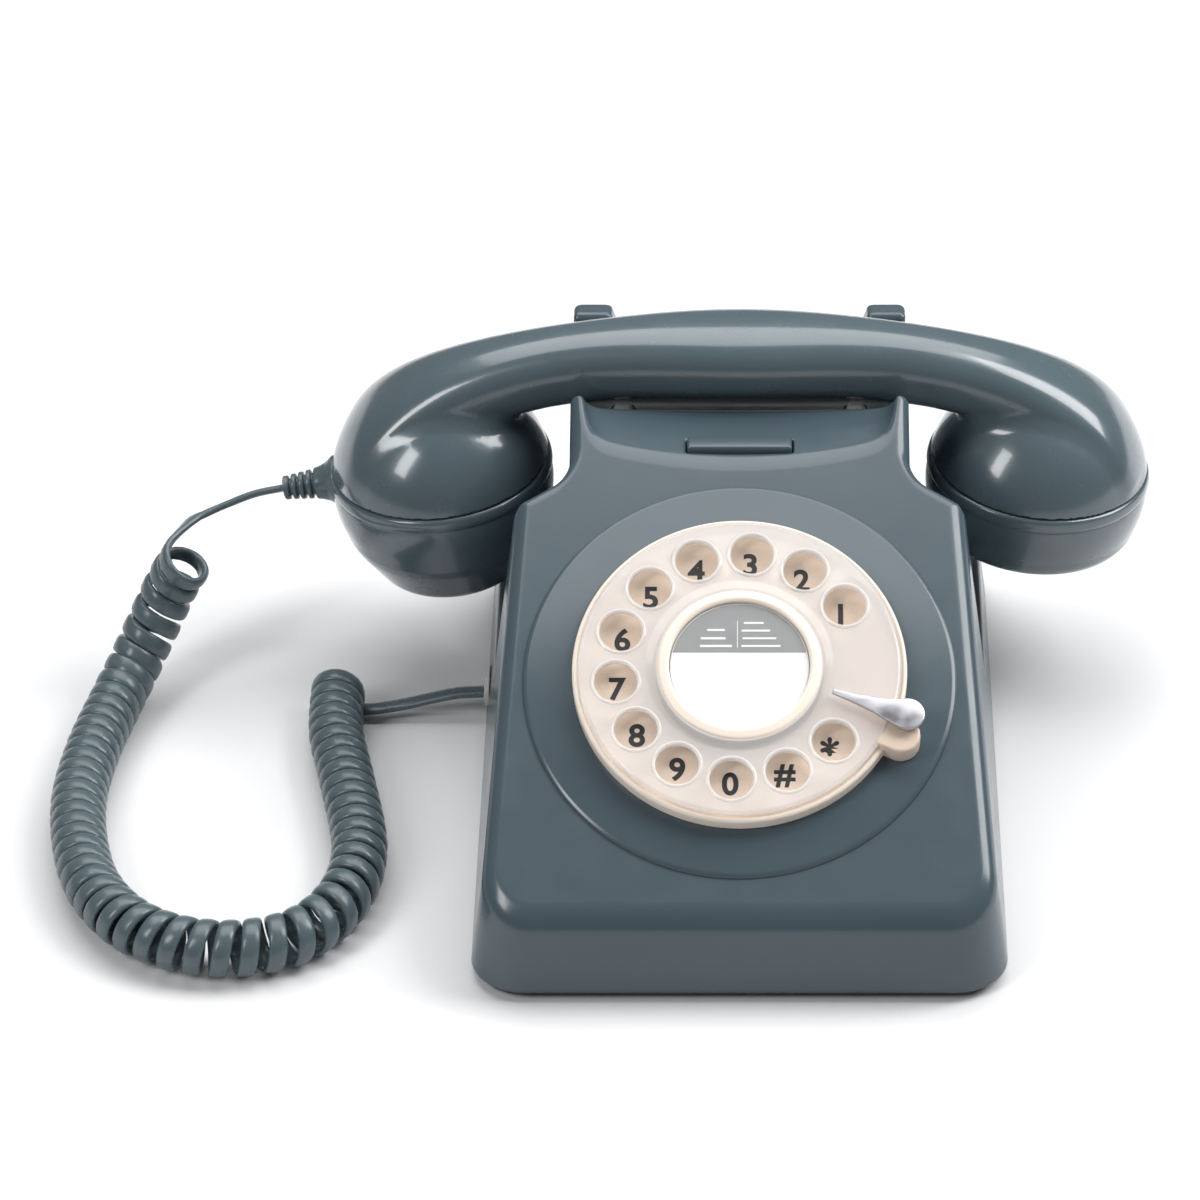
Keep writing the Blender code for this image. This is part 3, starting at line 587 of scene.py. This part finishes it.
def make_floor():
    bm = bmesh.new()
    bmesh.ops.create_grid(bm, x_segments=8, y_segments=8, size=4000.0)
    floor = from_bmesh("floor", bm)
    mat, nodes, links, shader = node_material("floor")
    cloud = noise(nodes, links, 0.8, 2.0)
    links.new(tinted(nodes, links, cloud, (0.80, 0.80, 0.805), 0.01), shader.inputs["Base Color"])
    shader.inputs["Roughness"].default_value = 0.6
    shader.inputs["Specular IOR Level"].default_value = 0.2
    floor.data.materials.append(mat)


# ---------------------------------------------------------------- cord

COIL_ROUTE = [
    (-163.0, 45.0, 45.0), (-168.0, 46.5, 35.5), (-174.0, 42.8, 23.5), (-180.0, 35.0, 13.2),
    (-184.5, 23.0, 8.8), (-189.0, 0.0, 8.5), (-190.8, -23.5, 8.5), (-188.0, -46.5, 8.5),
    (-182.0, -65.0, 8.5), (-171.0, -80.0, 8.5), (-156.0, -88.6, 8.5), (-139.0, -90.4, 8.5),
    (-123.0, -84.5, 8.5), (-112.0, -69.0, 8.5), (-108.5, -46.5, 8.5), (-114.0, -14.0, 8.5),
    (-118.0, 5.0, 8.5), (-119.0, 18.0, 8.5), (-119.0, 30.0, 8.5),
]
UPPER_STRAND = [
    (-135.7, 66.0, 55.9), (-144.0, 65.5, 54.2), (-152.5, 63.6, 51.6), (-158.5, 61.0, 50.2),
    (-162.6, 57.6, 49.8),
]
LOWER_STRAND = [
    (-110.3, 26.5, 3.4), (-101.0, 27.0, 4.6), (-92.0, 27.0, 7.0), (-84.0, 27.0, 9.0), (-75.9, 27.0, 9.6),
]
TURN_POINTS = 22
COIL_START_OUT = np.array([-0.58, 0.25, 0.68])
BOOT_FLAT_SIDE = np.array([0.0, 0.588, 0.809])


def smooth_path(controls, step):
    """Points about a step apart on a Catmull-Rom curve through the control points."""
    pts = [Vector(p) for p in controls]
    pts = [pts[0] * 2 - pts[1]] + pts + [pts[-1] * 2 - pts[-2]]
    dense = []
    for a, b, c, d in zip(pts, pts[1:], pts[2:], pts[3:]):
        for k in range(24):
            t = k / 24.0
            dense.append(0.5 * (2 * b + (c - a) * t + (2 * a - 5 * b + 4 * c - d) * t * t
                                + (3 * b - a - 3 * c + d) * t ** 3))
    dense.append(pts[-2])
    place = np.array([tuple(p) for p in dense])
    at = np.concatenate([[0], np.cumsum(np.linalg.norm(np.diff(place, axis=0), axis=1))])
    count = max(2, int(round(at[-1] / step)) + 1)
    want = np.linspace(0, at[-1], count)
    return np.stack([np.interp(want, at, place[:, k]) for k in range(3)], axis=1)


def local_pitch(share):
    """The coil's pitch along its route: open where it hangs and in the bend, close on the two sides."""
    knots = (0.0, 0.04, 0.14, 0.22, 0.42, 0.52, 0.68, 0.76, 0.95, 1.0)
    pitch = (7.4, 7.0, 6.2, 5.1, 5.1, 6.6, 7.2, 5.7, 5.3, 5.6)
    return np.interp(share, knots, pitch)


def coil_points():
    """The helix's points, and the direction away from the coil's middle at each."""
    route = smooth_path(COIL_ROUTE, 0.25)
    tangent = np.gradient(route, axis=0)
    tangent /= np.linalg.norm(tangent, axis=1)[:, None]
    out = COIL_START_OUT - tangent[0] * (COIL_START_OUT @ tangent[0])
    outs = []
    for t in tangent:
        out = out - t * (out @ t)
        out /= np.linalg.norm(out)
        outs.append(out)
    outs = np.array(outs)
    sides = np.cross(tangent, outs)
    share = np.linspace(0, 1, len(route))
    travel = np.concatenate([[0], np.cumsum(np.linalg.norm(np.diff(route, axis=0), axis=1))])
    speed = 2 * math.pi / local_pitch(share)
    angle = np.concatenate([[0], np.cumsum(0.5 * (speed[1:] + speed[:-1]) * np.diff(travel))])
    down = np.array([0.0, 0.0, -1.0])
    last = math.atan2(-(down @ sides[-1]), down @ outs[-1])
    whole = round((angle[-1] - last) / (2 * math.pi)) * 2 * math.pi + last
    angle *= whole / angle[-1]
    want = np.linspace(0, angle[-1], int(angle[-1] / (2 * math.pi) * TURN_POINTS))
    at = [np.stack([np.interp(want, angle, source[:, k]) for k in range(3)], 1)
          for source in (route, outs, sides)]
    radial = at[1] * np.cos(want)[:, None] - at[2] * np.sin(want)[:, None]
    radial /= np.linalg.norm(radial, axis=1)[:, None]
    return at[0] + radial * COIL_MIDDLE_RADIUS, radial


def sweep(name, path, normals, width, thickness, sides=12):
    """A flat strand along a path: its width lies across the normals."""
    tangent = np.gradient(path, axis=0)
    tangent /= np.linalg.norm(tangent, axis=1)[:, None]
    rings = []
    for p, t, n in zip(path, tangent, normals):
        n = n - t * (n @ t)
        n /= np.linalg.norm(n)
        across = np.cross(t, n)
        for k in range(sides):
            a = 2 * math.pi * (k + 0.5) / sides
            c = math.copysign(abs(math.cos(a)) ** 0.75, math.cos(a))
            s = math.copysign(abs(math.sin(a)) ** 0.75, math.sin(a))
            rings.append(p + across * c * width / 2 + n * s * thickness / 2)
    faces = []
    for i in range(len(path) - 1):
        for k in range(sides):
            j = (k + 1) % sides
            faces.append((i * sides + k, (i + 1) * sides + k, (i + 1) * sides + j, i * sides + j))
    faces.append(tuple(range(sides)))
    faces.append(tuple(reversed(range((len(path) - 1) * sides, len(path) * sides))))
    obj = new_mesh_object(name, rings, faces)
    bm = bmesh.new()
    bm.from_mesh(obj.data)
    bmesh.ops.recalc_face_normals(bm, faces=bm.faces)
    bm.to_mesh(obj.data)
    bm.free()
    return smooth(obj, 60)


def carried(path, first):
    """The normals along a path, from the first one on, without a twist."""
    out = [first]
    tangent = np.gradient(path, axis=0)
    for t in tangent[1:]:
        t = t / np.linalg.norm(t)
        n = out[-1] - t * (out[-1] @ t)
        out.append(n / np.linalg.norm(n))
    return np.array(out)


def make_cord():
    coil, radial = coil_points()
    upper = smooth_path(UPPER_STRAND + [tuple(coil[0]), tuple(coil[3])], 1.5)
    stop = int(np.argmin(np.linalg.norm(upper - coil[0], axis=1)))
    upper = upper[:stop]
    lower = smooth_path([tuple(coil[-4]), tuple(coil[-1])] + LOWER_STRAND, 1.5)
    begin = int(np.argmin(np.linalg.norm(lower - coil[-1], axis=1))) + 1
    lower = lower[begin:]
    carried_out = carried(upper[::-1], radial[0])[::-1]
    blend = np.clip(np.arange(len(upper))[::-1] / 8.0, 0, 1)[:, None]
    upper_normals = carried_out * (1 - blend) + BOOT_FLAT_SIDE * blend
    lower_normals = carried(lower, radial[-1])
    path = np.concatenate([upper, coil, lower])
    normals = np.concatenate([upper_normals, radial, lower_normals])
    cord = sweep("handset_cord", path, normals, STRAND_WIDTH, STRAND_THICKNESS)
    cord.data.materials.append(MATERIALS["cord_plastic"])
    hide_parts("cord_coil", "cord_upper_strand", "cord_lower_strand")
    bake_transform(cord)


def cord_boot():
    """The ribbed boot where the cord leaves the handset."""
    tilt = math.radians(10.0)
    matrix = Matrix.Translation(Vector((-CUP_X - CUP_RADIUS - 0.5, CRADLE_Y, 58.4))) @ Matrix.Rotation(
        -math.pi / 2 - tilt, 4, "Y")
    profile = [(0.0, 14.0), (3.2, 14.0), (3.6, 13.6)]
    for k in range(4):
        top = 13.6 - 2.3 * k
        wide = 3.6 + 0.26 * k
        profile += [(wide, top), (wide, top - 1.35), (wide - 1.1, top - 1.5), (wide - 1.0, top - 2.2)]
    profile += [(4.7, 4.3), (5.0, 2.8), (5.9, 0.4), (7.6, -1.6), (7.6, -2.6), (0.0, -2.6)]
    boot = turned("cord_boot", softened(profile, 0.35, steps=3), matrix, 40)
    return finish_piece(boot, "handset", "cord_plastic", "cord_relief")


# ---------------------------------------------------------------- case


def block_field(x, y, z):
    half_x = BASE_HALF_WIDTH - SIDE_DRAFT * z
    half_y = HALF_DEPTH - END_DRAFT * z
    qx = np.abs(x) - (half_x - CORNER_RADIUS)
    qy = np.abs(y) - (half_y - CORNER_RADIUS)
    outside = np.hypot(np.maximum(qx, 0), np.maximum(qy, 0))
    return (outside + np.minimum(np.maximum(qx, qy), 0) - CORNER_RADIUS) * 0.992


def scoop_field(x, y, z):
    """The hollow beside the neck, in which one end of the handset hangs."""
    back = -((np.abs(x) - SHOULDER[0]) * SHOULDER_LEAN + (y - SHOULDER[1])) / math.hypot(1, SHOULDER_LEAN)
    side = NECK_HALF_WIDTH - np.abs(x)
    plan = meet(side, back, 4.5)
    return meet(plan, LEDGE_Z - z, 5.0)


def cradle_field(x, y, z):
    """The hollow that the handle lies in: a long shallow bowl and a round channel across it."""
    ax = np.abs(x)
    back = np.clip((y - 79.0) / 3.0, 0, 1)
    width = CRADLE_HALF_WIDTH - CRADLE_NARROWING * back ** 2 * (3 - 2 * back)
    narrowing = CRADLE_NARROWING * 2.0 * back * (1 - back)
    edge = 9.0 * (np.minimum(ax, 50.0) / width) ** 22
    rise = 1.7 * (ax / 33.0) ** 2 + edge
    steep_x = 3.4 * ax / 33.0 ** 2 + 22 * edge / np.maximum(ax, 1.0)
    steep_y = 22 * edge / width * narrowing
    bowl = (CRADLE_FLOOR + rise - z) / np.sqrt(1 + steep_x ** 2 + steep_y ** 2)
    channel = np.hypot(y - CRADLE_Y, z - CHANNEL_Z) - CHANNEL_RADIUS
    return merge(bowl, channel, 1.5)


def box_field(x, y, z, centre, half, radius):
    qx = np.abs(x - centre[0]) - half[0] + radius
    qy = np.abs(y - centre[1]) - half[1] + radius
    qz = np.abs(z - centre[2]) - half[2] + radius
    outside = np.sqrt(np.maximum(qx, 0) ** 2 + np.maximum(qy, 0) ** 2 + np.maximum(qz, 0) ** 2)
    return outside + np.minimum(np.maximum(np.maximum(qx, qy), qz), 0) - radius


def case_form(x, y, z):
    form = block_field(x, y, z)
    face = -(y - FOLD[0]) * math.sin(SLOPE) + (z - FOLD[1]) * math.cos(SLOPE)
    form = meet(form, -scoop_field(x, y, z), 2.2)
    form = meet(form, face, 4.5)
    form = meet(form, z - HORN_TOP, 1.6)
    form = meet(form, -cradle_field(x, y, z), 1.4)
    return meet(form, -box_field(x, y, z, (0, 103, 62), (33, 20, 12), 4.0), 2.0)


def case_field(x, y, z):
    form = case_form(x, y, z)
    shell = meet(form, CASE_BOTTOM - z, 0.8)
    shell = meet(shell, -(form + WALL), 0.4)
    across = -(y - DIAL_CENTRE.y) * math.sin(SLOPE) + (z - DIAL_CENTRE.z) * math.cos(SLOPE)
    up = (y - DIAL_CENTRE.y) * math.cos(SLOPE) + (z - DIAL_CENTRE.z) * math.sin(SLOPE)
    well = np.maximum(np.hypot(x, up) - WELL_RADIUS - 3.0, -20.0 - across)
    shell = meet(shell, -well, 0.4)
    hole = np.maximum(np.hypot(np.abs(x) - PLUNGER_X, y - PLUNGER_Y) - 3.4, 70.0 - z)
    slot = box_field(x, y, z, (0, BAR_Y, 100), (15.4, 3.3, 20), 0.5)
    left = box_field(x, y, z, (-76, 27, 9.6), (9, 6.5, 5.3), 0.8)
    rear = box_field(x, y, z, (30, 103, 9.6), (6.5, 9, 5.3), 0.8)
    openings = np.minimum(np.minimum(hole, slot), np.minimum(left, rear))
    return meet(shell, -openings, 0.5)


def make_case():
    voxel, kept = ((0.8, 0.3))
    case = surface("case_shell", case_field, (-78.2, -106.3, 0.7), (78.2, 106.3, 106.1), voxel, kept)
    finish_piece(case, "base", "case_plastic", "case")
    profile = [(WELL_RADIUS + 2.5, -1.0), (WELL_RADIUS + 2.5, 2.3), (48.6, 2.2), (59.9, 1.15)]
    profile += [(SURROUND_RADIUS - 0.35, 0.7), (SURROUND_RADIUS, 0.0), (SURROUND_RADIUS, -1.0)]
    profile = softened(profile[::-1], 0.7, closed=True)
    finish_piece(turned("dial_surround", profile[::-1], DIAL, 160), "base", "case_plastic")


# ---------------------------------------------------------------- handset


def handle_field(x, y, z):
    """The handle, a broad arch of oval section, and its way out as x, y and z."""
    n = HANDLE_POWER
    a = np.abs(x) / HANDLE_HALF_SPAN
    b = np.maximum(z - CUP_Z, 0) / HANDLE_RISE
    size = np.maximum(a ** n + b ** n, 1e-6) ** (1 / n)
    out_x = (a / size) ** (n - 1) / HANDLE_HALF_SPAN
    out_z = (b / size) ** (n - 1) / HANDLE_RISE
    steep = np.hypot(out_x, out_z)
    rise = (size - 1) / steep
    u = np.abs(x) / 50.0
    depth = 15.0 - 3.0 * np.sin(np.minimum(u, 1.0) * math.pi / 2) ** 2 + 6.5 * np.maximum(u - 1.0, 0) ** 2.17
    m = 2.35
    c = np.abs(y - CRADLE_Y) / depth
    d = np.abs(rise) / HANDLE_HALF_HEIGHT
    size = np.maximum(c ** m + d ** m, 1e-6)
    way_y = c ** (m - 1) / depth
    way_out = d ** (m - 1) / HANDLE_HALF_HEIGHT
    length = np.maximum(np.hypot(way_y, way_out), 1e-6)
    bar = (size ** (1 / m) - 1) / (size ** (1 / m - 1) * length)
    along = np.sign(rise) * way_out / length / steep
    way = (along * out_x, np.sign(y - CRADLE_Y) * way_y / length, along * out_z)
    return meet(bar, CUP_Z - z, 10.0), way


def handset_form(x, y, z):
    """Both balls and the handle. The fillet between them fades where they run alongside each other."""
    away = (np.abs(x) - CUP_X, y - CRADLE_Y, z - CUP_Z)
    reach = np.sqrt(away[0] ** 2 + away[1] ** 2 + away[2] ** 2)
    bar, way = handle_field(x, y, z)
    agree = (away[0] * way[0] + away[1] * way[1] + away[2] * way[2]) / np.maximum(reach, 1.0)
    return merge(reach - CUP_RADIUS, bar, 0.8 + 5.0 * np.clip(1 - agree, 0, 1))


def handset_field(x, y, z):
    form = handset_form(x, y, z)
    tilt = math.radians(CUP_TILT_DEG)
    seam = (np.abs(x) - CUP_X) * math.sin(tilt) + (z - CUP_Z) * math.cos(tilt)
    shell = meet(form, SEAM_HEIGHT - seam, 0.5)
    return meet(shell, -(form + SHELL_WALL), 0.4)


def cup_matrix(side):
    tilt = Matrix.Rotation(side * math.radians(CUP_TILT_DEG), 4, "Y")
    return Matrix.Translation(Vector((side * CUP_X, CRADLE_Y, CUP_Z))) @ tilt


def drilled(obj, centres, radius, low, high, matrix):
    """Cut round holes through an object."""
    bm = bmesh.new()
    for u, v in centres:
        made = bmesh.ops.create_cone(bm, cap_ends=True, segments=20, radius1=radius, radius2=radius,
                                     depth=high - low)
        bmesh.ops.translate(bm, vec=(u, v, (low + high) / 2), verts=made["verts"])
    return cut(obj, from_bmesh("drill", bm, matrix))


def make_handset():
    voxel, kept = ((0.8, 0.35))
    shell = surface("handset_body", handset_field, (-124.1, 30.1, 58.1), (124.1, 102.1, 118.1), voxel, kept)
    finish_piece(shell, "handset", "handset_plastic", "handset_shell")
    top = SEAM_HEIGHT - 0.3
    bead = [(29.0, top), (32.0, top), (32.75, top - 0.5), (33.1, top - 1.6), (33.2, top - 2.8)]
    bead += [(33.0, top - 3.6), (32.6, top - 4.0), (32.8, top - 4.5)] + arc((0, 0), 32.95, 0, -18, 5)
    mouth = [(0, -26.6), (16.5, -26.6), (27.6, -14.5), (29.0, -6.0), (29.8, 0)] + bead
    mouth += [(30.5, -13.6), (29.2, -16.6), (22.8, -27.2), (21.4, -28.9), (19.5, -29.5), (17.0, -29.0)]
    mouth += [(0, -28.6)]
    cap = turned("mouthpiece", softened(mouth, 0.9), cup_matrix(-1), 120)
    spots = [(0, 0)] + [(5.2 * math.cos(a), 5.2 * math.sin(a)) for a in np.arange(6) * math.pi / 3]
    spots += [(10.4 * math.cos(a), 10.4 * math.sin(a)) for a in np.arange(12) * math.pi / 6]
    drilled(cap, spots, 1.1, -31.0, -25.0, cup_matrix(-1))
    finish_piece(smooth(cap, 40), "handset", "handset_plastic", "mouthpiece_cap")
    ear = [(0, -13.2), (24.0, -13.2), (27.6, -11.6), (29.0, -5.0), (29.8, 0)] + bead
    ear += [(30.9, -12.4), (29.4, -14.8), (26.0, -16.3), (22.0, -16.5), (12.0, -15.6), (0, -15.2)]
    cap = turned("earpiece", softened(ear, 1.2), cup_matrix(1), 120)
    spots = [(0, 0)] + [(6.0 * math.cos(a), 6.0 * math.sin(a)) for a in np.arange(8) * math.pi / 4]
    drilled(cap, spots, 1.3, -18.0, -12.0, cup_matrix(1))
    finish_piece(smooth(cap, 40), "handset", "handset_plastic", "earpiece_cap")


# ---------------------------------------------------------------- dial


def hole_places(radius=HOLE_CIRCLE):
    for index in range(HOLE_COUNT):
        angle = math.radians(FIRST_HOLE_DEG + HOLE_PITCH_DEG * index)
        yield radius * math.cos(angle), radius * math.sin(angle)


def make_number_ring():
    profile = [(47.0, 6.6), (47.0, 2.4), (46.2, 1.6), (23.4, 1.6), (23.4, 4.2), (44.6, 4.2), (45.6, 6.8)]
    profile += [(46.4, 7.1)]
    ring = turned("number_ring_dish", softened(profile, 0.45, closed=True), DIAL, 180)
    finish_piece(ring, "base", "number_ring_plastic", "number_ring")
    ring.data.materials.append(CREAM)
    to_dial = DIAL.inverted()
    for face in ring.data.polygons:
        if (to_dial @ (face.center / MM)).xy.length > RING_RIM_INNER:
            face.material_index = 1
    turn = Matrix.Rotation(math.radians(STOP_DEG - 6.0), 4, "Z")
    outline = [(44.0, -5.4), (49.4, -5.4)] + arc((49.6, 0.0), 5.4, -80, 80, 8) + [(49.4, 5.4), (44.0, 5.4)]
    lug = prism("finger_stop_lug", outline, 1.8, 9.0, 0.7, DIAL @ turn)
    finish_piece(lug, "base", "number_ring_plastic")


def make_figures():
    """The figures 1 to 0, # and *, as thin ink on the ring."""
    made = []
    for figure, (u, v) in zip(FIGURES, hole_places(34.2)):
        text = bpy.data.curves.new("figure", "FONT")
        text.body = figure
        text.size = (9.4 if figure != "*" else 12.0) * MM
        text.align_x = "CENTER"
        text.align_y = "CENTER"
        text.offset = 0.26 * MM
        text.extrude = 0.03 * MM
        text.resolution_u = 6
        letter = bpy.data.objects.new("figure", text)
        bpy.context.scene.collection.objects.link(letter)
        bpy.context.view_layer.update()
        mesh = bpy.data.meshes.new_from_object(letter.evaluated_get(bpy.context.evaluated_depsgraph_get()))
        place = np.empty(len(mesh.vertices) * 3)
        mesh.vertices.foreach_get("co", place)
        place = place.reshape(-1, 3) / MM
        middle = (place.min(axis=0) + place.max(axis=0)) / 2
        mesh.transform(Matrix.Translation(Vector((u - 0.4 - middle[0], v - middle[1], 4.24)) * MM))
        bpy.data.objects.remove(letter, do_unlink=True)
        made.append(mesh)
    bm = bmesh.new()
    for mesh in made:
        bm.from_mesh(mesh)
    bmesh.ops.scale(bm, vec=(1 / MM, 1 / MM, 1 / MM), verts=bm.verts)
    bmesh.ops.remove_doubles(bm, verts=bm.verts, dist=0.002)
    figures = from_bmesh("dial_figures", bm, DIAL)
    figures.data.materials.append(INK)
    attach(figures, "base")


def make_fingerplate():
    profile = [(44.6, 9.3), (45.5, 8.6), (45.5, 8.0), (44.9, 7.4), (21.0, 7.4), (21.0, 9.8), (24.0, 9.9)]
    profile += [(26.4, 9.3)]
    plate = turned("finger_plate", softened(profile, 0.4, closed=True), DIAL, 144)
    bm = bmesh.new()
    for u, v in hole_places():
        made = bmesh.ops.create_cone(bm, cap_ends=True, segments=48, radius1=HOLE_RADIUS,
                                     radius2=HOLE_RADIUS, depth=8)
        bmesh.ops.translate(bm, vec=(u, v, 8.5), verts=made["verts"])
    cut(plate, from_bmesh("drill", bm, DIAL))
    finish_piece(smooth(plate, 40), "dial", "clear_plastic", "fingerplate")
    lips = bmesh.new()
    for u, v in hole_places():
        add_lip(lips, u, v)
    lip = smooth(from_bmesh("finger_hole_rims", lips, DIAL), 60)
    finish_piece(lip, "dial", "clear_plastic")


def add_lip(bm, u, v, around=48, section=10):
    """A rounded raised rim about one finger hole."""
    rows = []
    for k in range(around):
        a = 2 * math.pi * k / around
        row = []
        for j in range(section):
            b = 2 * math.pi * j / section
            r = HOLE_RADIUS + 0.35 + 0.75 * math.cos(b)
            row.append(bm.verts.new((u + r * math.cos(a), v + r * math.sin(a), 8.75 + 1.05 * math.sin(b))))
        rows.append(row)
    for k in range(around):
        for j in range(section):
            i = (j + 1) % section
            n = (k + 1) % around
            bm.faces.new((rows[k][j], rows[n][j], rows[n][i], rows[k][i]))


def make_label():
    """A round card, grey above and white below, under a clear domed cover in a cream ring."""
    radius = 19.5
    card = turned("label_disc", [(0, 8.9), (radius, 8.9), (radius, 8.5), (0, 8.5)], DIAL, 96)
    finish_piece(card, "dial", "label_card", "dial_label")
    edge = 4.2
    start = math.degrees(math.asin(edge / 19.2))
    outline = arc((0, 0), 19.2, start, 180 - start, 36)
    top = prism("label_heading", outline, 8.9, 8.96, 0, DIAL)
    top.data.materials.append(LABEL_GREY)
    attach(top, "dial")
    rows = bmesh.new()
    bars = [(4.0, 13.4, 5.6, 0.6), (-6.6, 11.2, 5.0, 0.6), (4.6, 11.0, 8.0, 0.6), (-7.4, 8.6, 7.0, 0.7),
            (5.6, 8.6, 9.4, 0.6), (-6.6, 6.2, 9.0, 0.7), (6.0, 6.2, 11.0, 0.6), (-0.6, 9.8, 0.2, 8.4)]
    for u, v, wide, tall in bars:
        made = bmesh.ops.create_cube(rows, size=1.0)
        bmesh.ops.scale(rows, vec=(wide, tall, 0.05), verts=made["verts"])
        bmesh.ops.translate(rows, vec=(u, v, 8.985), verts=made["verts"])
    lines = from_bmesh("label_lines", rows, DIAL)
    finish_piece(lines, "dial", "label_card")
    cover = [(0, 10.5), (8, 10.42), (14, 10.2), (18.4, 9.85), (19.4, 9.5), (19.4, 9.3), (0, 9.3)]
    dome = turned("label_dome", softened(cover, 1.0), DIAL, 96)
    finish_piece(dome, "dial", "clear_plastic", "label_cover", material=CLEAR_DOME)
    rim = [(22.6, 10.2), (23.6, 9.4), (20.2, 9.2), (20.2, 8.5), (19.7, 8.5), (19.7, 10.0), (20.6, 10.5)]
    ring = turned("label_bezel", softened(rim, 0.35, closed=True), DIAL, 120)
    finish_piece(ring, "dial", "number_ring_plastic", "label_ring", material=CREAM)


def make_finger_stop():
    turn = Matrix.Rotation(math.radians(STOP_DEG), 4, "Z")
    outline = [(27.5, -0.75), (34.0, -1.5), (40.0, -2.5), (45.2, -3.9)] + arc((49.5, 0.0), 4.8, -110, 110, 16)
    outline += [(45.2, 3.3), (40.0, 2.0), (34.0, 1.1), (27.5, 0.75)]
    stop = prism("finger_stop_blade", outline, 10.7, 12.0, 0.4, DIAL @ turn)
    post = block("stop_post", (3.0, 6.0, 4.0), (51.0, 0, 9.2), 0.3, DIAL @ turn)
    cut(stop, post, "UNION")
    finish_piece(smooth(stop, 40), "base", "chrome_trim", "finger_stop")


# ---------------------------------------------------------------- cradle pieces and CAD nodes


def make_cradle_pieces():
    bar = block("handset_rest_bar", (30.2, 6.0, 6.4), (0, BAR_Y, BAR_TOP - 3.2), 0.9, segments=4)
    finish_piece(bar, "press_bar", "case_plastic", "press_bar")
    for side, label in ((-1, "left"), (1, "right")):
        matrix = Matrix.Translation(Vector((side * PLUNGER_X, PLUNGER_Y, 0)))
        profile = [(0, 91.4), (1.6, 91.3), (2.5, 90.7), (2.9, 89.6), (2.9, 77.3), (0, 77.3)]
        button = turned("hook_button_" + label, softened(profile, 0.3), matrix, 40)
        finish_piece(button, "hook", "clear_plastic", "hook_plunger_" + label)


def make_spring(node, wire, turns):
    """A coil spring in the place of a CAD sleeve."""
    low, high = (Vector(corner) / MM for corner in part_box(node))
    middle = (low + high) / 2
    radius = (high.x - low.x) / 2 - wire / 2
    travel = np.linspace(0, 1, turns * 20)
    angle = 2 * math.pi * turns * travel
    away = np.stack([np.cos(angle), np.sin(angle), 0 * angle], axis=1)
    rise = low.z + wire / 2 + (high.z - low.z - wire) * travel
    path = np.stack([middle.x + 0 * rise, middle.y + 0 * rise, rise], axis=1) + away * radius
    spring = sweep(node + "_coil", path, away, wire, wire, 8)
    spring.data.materials.append(MATERIALS["steel_parts"])
    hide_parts(node)
    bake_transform(spring)


def dress_cad_nodes():
    """Give every CAD node that still shows its material, welded and with soft edges."""
    for part in RECORD["subparts"]:
        node = NODES[part["node"]]
        node.data.materials.clear()
        node.data.materials.append(MATERIALS[part["material_slot"]])
        if node.hide_render:
            continue
        node.data.shade_smooth()
        weld = node.modifiers.new("weld", "WELD")
        weld.merge_threshold = 0.00001
        bevel = node.modifiers.new("soft_edges", "BEVEL")
        bevel.width = 0.00018
        bevel.segments = 2
        bevel.limit_method = "ANGLE"
        bevel.angle_limit = math.radians(40)
        bevel.harden_normals = True


make_camera()
make_world()
make_floor()
area_light("key_right", 80, 45, 1.5, (0.7, 1.0), 19)
area_light("strip_left", -127, 40, 1.5, (0.35, 0.75), 8)
area_light("overhead", 0, 66, 1.5, (1.6, 1.3), 22)
cord_boot()
make_cord()
make_case()
make_handset()
make_number_ring()
make_figures()
make_fingerplate()
make_label()
make_finger_stop()
make_cradle_pieces()
make_spring("hook_spring", 0.8, 6)
make_spring("press_bar_spring", 0.6, 5)
dress_cad_nodes()
